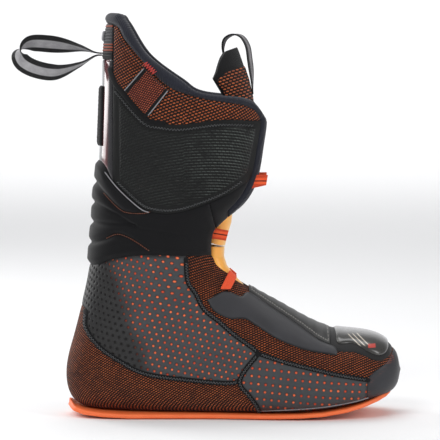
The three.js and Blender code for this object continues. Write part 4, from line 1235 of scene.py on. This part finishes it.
# Quilted linings inside the shaft and the foot, and the footbed. In the shaft the inner cloth is held along its
# quilting lines and blown up between them by a short simulation; in the foot a soft wave of its inner face stands
# in.
quilt = {"pitch": 30, "held": 1.7, "pressure": 4.0, "frames": 20, "most": 2.2, "quality": 5, "mass": 0.2}


def verticesOf(piece):
    flat = np.empty(len(piece.data.vertices) * 3, np.float32)
    piece.data.vertices.foreach_get("co", flat)
    return flat


def quiltGap(piece):
    # distance to the nearest of the diagonal quilting lines, both ways, in the side view
    u, v = roundShaft(*verticesOf(piece).reshape(-1, 3).T / mm)
    pitch = quilt["pitch"]
    return np.minimum(*(np.abs(np.mod(w / 1.414 / pitch, 1) - 0.5) * pitch for w in (u + v, u - v)))


def blowUp(piece):
    # the outer face and the quilting lines are held, and the rest moves inwards by up to the most
    start = verticesOf(piece)
    outer = np.arange(len(start) // 3) < len(start) // 6
    group = piece.vertex_groups.new(name="held")
    group.add(np.flatnonzero(outer | (quiltGap(piece) < quilt["held"])).tolist(), 1.0, "REPLACE")
    cloth = piece.modifiers.new("puff", "CLOTH")
    cloth.settings.quality = quilt["quality"]
    cloth.settings.mass = quilt["mass"]
    cloth.settings.use_pressure = True
    cloth.settings.uniform_pressure_force = quilt["pressure"]
    cloth.settings.vertex_group_mass = "held"
    cloth.settings.effector_weights.gravity = 0
    cloth.collision_settings.use_collision = False
    cloth.point_cache.frame_end = quilt["frames"]
    scene = bpy.context.scene
    for number in range(1, quilt["frames"] + 1):
        scene.frame_set(number)
    moved = verticesOf(piece.evaluated_get(bpy.context.evaluated_depsgraph_get()))
    scene.frame_set(1)
    piece.modifiers.remove(cloth)
    piece.vertex_groups.remove(group)
    shift = (moved - start).reshape(-1, 3) / mm
    far = np.linalg.norm(shift, axis=1, keepdims=True)
    kept = shift * quilt["most"] * np.tanh(far / quilt["most"]) / np.maximum(far, 1e-6)
    kept[outer] = 0
    piece.data.vertices.foreach_set("co", (start + kept.ravel() * mm).astype(np.float32))
    piece.data.update()
    print(piece.name, "blown up by", round(float(np.linalg.norm(kept, axis=1).max()), 2), "mm")


def besideThroat(x, y, z):
    return np.where((x > -30) & (z > 104), np.abs(y) - 22, farInside)


wall = {"lift": -1.35, "thickness": 6.8, "edge": (0.5, 1.0)}
for side, sign, shares in sides:
    region = within(shaftOutline, underBinding, overFlex, besideSlot(slotHalf))
    piece = patch(side + "_shaft_lining", region, halves[sign], rows=(17, 29), cell=2.4, hem=(3.4, 2.4, 0.0),
                  **wall)
    blowUp(piece)
    dress(piece, "lining", foldBend(sign), ["cuff_foam", side + "_wing_foam"])
outline = around("ankle", "throatLow", [[38.5, 200], [250, 200], [250, soleEnd], [backEnd, soleEnd]])
piece = skin("foot_lining", within(outline, besideThroat), "lining", "foam", "foot",
             ["foot_foam", "forefoot_foam"], shares=overBack, rows=(1.3, 19), cell=2.0, hem=(3.4, 2.4, 0.3),
             **wall)
tray = smooth([[-140, 40], [-100, 38], [-60, 28], [0, 22], [60, 20], [100, 24], [125, 29], [144, 33]])
skin("footbed", within(around(tray, [[144, soleEnd], [backEnd, soleEnd]])), "felt", "footbed", "foot",
     shares=(-0.6, 0.6), rows=(2, 17), cell=2.0, lift=-8.6, thickness=3.6, edge=(0.6, 1.0), hem=(1.6, 1.2, 0.0))
print("linings made")

# Outsole: a flat plate with rounded sides that follows the sole's profile. Rows: place along it,
# height of its underside, half width.
soleRows = np.array([
    [-121.5, 9, 10], [-117, 5, 20], [-108, 2.5, 28], [-92, 1, 33], [-70, 0, 35], [-35, 0, 34.5], [0, 0, 34.5],
    [27, 0, 36.5], [54, 0, 40.5], [80, 0.8, 44.5], [100, 2.2, 46], [120, 5.2, 44.5], [135, 9, 40],
    [148, 13.5, 32.5], [156, 17, 24], [160.5, 19.5, 15]])
soleThickness = 5.2


def makeOutsole():
    x = np.concatenate([[-121.9], np.linspace(-121.5, 160.5, 260), [160.9]])
    bottom, half = (np.interp(x, soleRows[:, 0], soleRows[:, k]) for k in (1, 2))
    ends = np.clip(np.minimum(x + 121.9, 160.9 - x) / 7, 0, 1)
    half = half * (0.55 + 0.45 * np.sqrt(1 - (1 - ends) ** 2))
    centres = np.stack([x, 8 * eased(np.clip((x - 40) / 110, 0, 1)), bottom + soleThickness / 2], 1)
    slope = unit(np.gradient(centres, axis=0) * [1, 0, 1])
    across = np.tile([0.0, 1.0, 0.0], (len(x), 1))
    up = np.stack([-slope[:, 2], np.zeros(len(x)), slope[:, 0]], 1)
    outline = rounded(2, soleThickness, 0.03, 64, 5)
    profile = outline[None] * np.stack([half, np.ones(len(x))], 1)[:, None]
    dress(tube("outsole", centres, across, up, profile), "sole", "foot")
    print("outsole made")


makeOutsole()

# The tongue: a curled plate. Each row: front line x and z, half width, depth of the curl.
tongueRows = np.array([
    [31.5, 115, 15, 6], [23, 124, 15, 6], [17, 132, 15, 6], [14.5, 140, 15, 7], [15, 148, 15, 7],
    [15.3, 149.4, 15, 7], [18, 160, 15.5, 8], [21, 170, 16, 8], [22, 180, 17.5, 8], [24, 190, 21, 9],
    [31, 203, 25, 11], [35, 216, 28, 12], [38, 232, 31, 14], [40, 249, 33, 16], [40, 265, 34, 18],
    [38.5, 280, 35, 21], [35, 295, 36, 25], [30, 310, 36, 28], [25.5, 323, 34, 29]])
tongueCurl = np.radians(72)
tongueTip, sideDrop = 323.8, 24  # height of the top edge, and how far it drops 35 mm to a side


def tongueRow(t):
    return np.stack([np.interp(t, np.arange(len(tongueRows)), column) for column in tongueRows.T], -1)


def tonguePoint(t, share):
    # the row's front point, pushed back and sideways round an arc
    row = tongueRow(t)
    along = unit(tongueRow(t + 0.6)[..., :2] - tongueRow(t - 0.6)[..., :2])
    angle = tongueCurl * share
    back = -row[..., 3] * (1 - np.cos(angle)) / (1 - np.cos(tongueCurl))
    y = row[..., 2] * np.sin(angle) / np.sin(tongueCurl)
    return np.stack([row[..., 0] + along[..., 1] * back, y, row[..., 1] - along[..., 0] * back], -1)


def tongueSurface(t, share):
    top, low = np.minimum(t + 0.3, len(tongueRows) - 1), np.maximum(t - 0.3, 0)
    along = tonguePoint(top, share) - tonguePoint(low, share)
    across = tonguePoint(t, share + 0.02) - tonguePoint(t, share - 0.02)
    return tonguePoint(t, share), unit(np.cross(across, along))


def tongueSide(x, y, z):
    # distance to the tongue's long edges
    return np.interp(z, tongueRows[:, 1], tongueRows[:, 2]) + 0.15 - np.abs(y)


def tongueTop(drop):
    # the top edge drops to both sides
    return lambda x, y, z: tongueTip - z - sideDrop * (np.abs(y) / 35) ** 4 - drop


def lowCheeks(x, y, z):
    # below the laces the plate curls on behind the flaps
    return np.where(z < 186, farInside, tongueSide(x, y, z) - 1.2 * (z > 244))


arch = smooth([[-60, 250], [-12, 270], [-5.5, 288.5], [0, 300], [11, 312], [21.5, 319], [32, 322.5], [60, 330]])
meshOutline = smooth([[0, 262], [60, 262], [60, 306], [30, 306], [20, 303], [10, 296], [4, 286], [0, 262]])
whole = [[-80, 90], [120, 90], [120, 360], [-80, 360]]
tongueParts = {  # region, finish, slot, rows, columns, reach round the curl, shape
    "tongue_base": (within(whole), "tongue", "tongue", (0, 4.1), 50, 1.5,
                    {"thickness": 7.6, "edge": (0.9, 1.0), "hem": (1.5, 1.5, 0.0)}),
    "tongue_shell": (within(around(arch, [[120, 330], [120, 90], [-80, 90]]), lowCheeks, tongueTop(3)),
                     "tongue", "tongue", (5, 18), 90, 1.5, {"thickness": 2.2, "edge": (0.7, 0.8)}),
    "tongue_lining": (within(whole, tongueSide, tongueTop(0)), "lining", "foam", (5, 18), 90, 1.0,
                      {"lift": -2.6, "thickness": 5.2, "edge": (1.2, 1.2), "hem": (2.4, 2.0, 0.3)}),
    "tongue_mesh": (within(meshOutline, tongueSide, tongueTop(0)), "collarWeave", "mesh", (14, 18), 90, 1.0,
                    {"lift": 1.5, "edge": (0.4, 0.6)}),
    "tongue_front": (within([[-80, 243], [120, 243], [120, 380], [-80, 380]],
                            lambda x, y, z: tongueSide(x, y, z) + 0.9, tongueTop(0)),
                     "edging", "binding", (12.6, 18.02), 90, 1.02,
                     {"lift": 0.7, "thickness": 3.5, "edge": (1.0, 1.2)}),
}
baseBend = ("foot", "cuff", (0.015, 0, 0.115), (0.015, 0, 0.148))
for name, (region, finish, slot, (low, high), columns, reach, shape) in tongueParts.items():
    grid = (low, high, int((high - low) * 12) + 6, -reach, reach, columns)
    piece = skin(name, region, finish, slot, baseBend if name == "tongue_base" else "tongue", weave=(0, 0),
                 surface=tongueSurface, grid=grid, **shape)
print("tongue made")


# Webbing loops.
def webbingBand(name, line, width, thickness, tilt):
    # the width turns from straight across the boot at both ends to a tilt in between
    path = smooth(line, 1.2)
    centres = np.stack([path[:, 0], np.zeros(len(path)), path[:, 1]], 1)
    share = np.linspace(0, 1, len(path))
    ease = eased(np.clip(np.minimum(share, 1 - share) / 0.3, 0, 1))[:, None]
    wide = unit((1 - ease) * np.array([0, 1, 0]) + ease * unit(np.array(tilt, float)))
    tangent = unit(np.gradient(centres, axis=0))
    wide = unit(wide - tangent * (wide * tangent).sum(1, keepdims=True))
    return tube(name, centres, wide, unit(np.cross(tangent, wide)), rounded(width, thickness, 0.05, 36, 5))


def plate(name, outline, low, high, corner=0.5):
    # a flat piece of folded webbing with rounded edges, standing in a plane along the boot
    outline = np.array(outline, float)
    line = evenly(np.concatenate([outline, outline[:1]]), 0.8)[:-1]
    middle = line.mean(0)
    reach = np.linalg.norm(line - middle, axis=1).mean()
    curve = corner * np.array([0, 0.3, 1])
    insets = np.array([corner, corner * 0.3, 0, 0, corner * 0.3, corner])
    heights = np.concatenate([low + curve, high - curve[::-1]])
    rings = middle + (line - middle)[None] * (1 - insets / reach)[:, None, None]
    points = np.stack([rings[..., 0], np.broadcast_to(heights[:, None], rings.shape[:2]), rings[..., 1]], -1)
    points = np.concatenate([points.reshape(-1, 3), [[middle[0], low, middle[1]], [middle[0], high, middle[1]]]])
    area = (line[:, 0] * np.roll(line[:, 1], -1) - np.roll(line[:, 0], -1) * line[:, 1]).sum()
    way = unit(outline[1] - outline[0])
    flat = (points[:, [0, 2]] - middle) @ np.stack([way, [-way[1], way[0]]], 1)
    return makeMesh(name, points, flipped(ringFaces(len(heights), len(line)), area >= 0), {"flat": flat})


pullLoops = {  # line, width, thickness, tilt, finish, body
    "rear_pull_loop": (
        [[-92.4, 317.85], [-98.4, 318.6], [-112, 322.5], [-139, 326], [-156, 326], [-164.7, 319],
         [-161.7, 310], [-149, 303.5], [-132, 301.5], [-112, 308], [-98.4, 315.4], [-92.4, 316.15]],
        20, 1.3, (-10.4, 12, -12.2), "pullWebbing", "rear_loop"),
    "tongue_pull_loop": (
        [[39.5, 282], [38.7, 298], [37, 312], [35, 324], [30, 332], [22.5, 334], [15.5, 330], [13.5, 322],
         [15, 312]], 15, 1.5, (0.3, 1, 0), "tongueWebbing", "tongue"),
}
laceLoops = {  # outline, distance from the middle of the boot, body
    "upper": ([[36, 212.5], [52.5, 212.5], [51, 203.5], [36, 200]], 21, "{}_wing"),
    "middle": ([[0, 167], [18.5, 164], [16, 155], [0, 157.5]], 20.5, "cuff"),
}
laceThickness = 1.8
lowerLoop = [[18, 127], [10.5, 112.5], [19.5, 112], [24.5, 121.5], [18, 127]]
for name, (line, width, thickness, tilt, finish, body) in pullLoops.items():
    dress(webbingBand(name, line, width, thickness, tilt), finish, body)
for side, sign, shares in sides:
    for name, (outline, gap, body) in laceLoops.items():
        low, high = sorted((-sign * gap, -sign * (gap + laceThickness)))
        piece = plate(side + "_" + name + "_lace_loop", outline, low, high)
        dress(piece, "laceWebbing", body.format(side))
    skin(side + "_lower_lace_loop", within(evenly(lowerLoop, 2)), "laceCloth", "lace_loop", "foot",
         shares=shares, rows=(8, 16), cell=0.7, lift=3.1, thickness=1.5, edge=(0.6, 0.6))
print("webbing made")

# Edge tapes over the seams, and stitching. A tape: line, half width, body, rows.
tapes = {
    "heel_tape": (seams["heelTop"][12:], 2.1, "foot", (4, 18)),
    "midfoot_tape": (seams["midfoot"][:26], 2.0, "foot", (5, 14)),
    "ankle_tape": (seams["ankleFront"][2:], 2.0, "foot", (7, 20)),
    "forefoot_tape": (seams["forefootTop"], 1.9, "foot", (3, 10)),
    "collar_tape": (seams["panelTop"][:24], 2.1, "cuff", (22, 29)),
}
footSeams = [line for line, _, body, _ in tapes.values() if body == "foot"]
glueLine = smooth([[46, 7.6], [70, 9.4], [100, 12], [125, 15.4], [140, 18.6]])


def sew(name, rows, sign, radius, arch, finish, moves):
    # rows of stitches on one side of the boot
    dress(stitchRows(name, [{"side": sign, **row} for row in rows], radius, arch), finish, moves)


for side, sign, shares in sides:
    for name, (line, half, body, rows) in tapes.items():
        skin(side + "_" + name, beside(line, half), "edging", "neoprene", body, shares=shares, rows=rows,
             cell=0.8, lift=0.75, edge=(0.45, 0.7))
    sew(side + "_foot_stitches", [{"line": line[1:-1], "pitch": 1.25, "width": 2.6, "lift": 0.95}
                                  for line in footSeams], sign, 0.26, 0.25, "greyThread", "foot")
    zigzag = {"pitch": 1.3, "width": 2.4}
    sew(side + "_cuff_stitches", [{"line": stretch("panelLow", -80, 32), "offset": 3.2, **zigzag},
                                  {"line": stretch("panelTop", -78, 40), "offset": -4.2, **zigzag}],
        sign, 0.24, 0.25, "greyThread", foldBend(sign))
    sew(side + "_ankle_stitches", [{"line": creases[0][4:], "pitch": 2.0, "lift": 1.0},
                                   {"line": creases[3][6:], "pitch": 2.0, "lift": 0.9}],
        sign, 0.34, 0.3, "brownThread", ankleBend)
    dress(piping(side + "_glue_bead", glueLine, sign, 0.25, 0.55), "glue", "foot")
    rim = {"line": stretch("bindingLow", -82, 38), "pitch": 2.1, "offset": -2.4, "lift": 1.75}
    sew(side + "_binding_stitches", [rim], sign, 0.26, 0.2, "blackThread", foldBend(sign))
print("tapes and stitches made")


def makeStudioFloor():
    # a floor that curves up into the wall behind
    turn = np.linspace(0.1, 1.57, 16)
    bend = np.stack([4.5 + 3 * np.sin(turn), 3 - 3 * np.cos(turn)], 1)
    sweep = np.concatenate([[[-9.0, 0.0], [4.5, 0.0]], bend, [[7.5, 12.0]]]) / mm
    x, row = np.meshgrid(np.array([-14.0, 14.0]) / mm, np.arange(len(sweep)))
    points = np.stack([x, sweep[row, 0], sweep[row, 1]], -1).reshape(-1, 3)
    i = np.arange(len(sweep) - 1) * 2
    floor = makeMesh("studio_floor", points, [np.stack([i, i + 1, i + 3, i + 2], 1)])
    floor.data.materials.append(Shader("studioFloor").finish(studio["floorColour"], studio["floorRoughness"]))


makeStudioFloor()

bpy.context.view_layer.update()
setUpStudio()
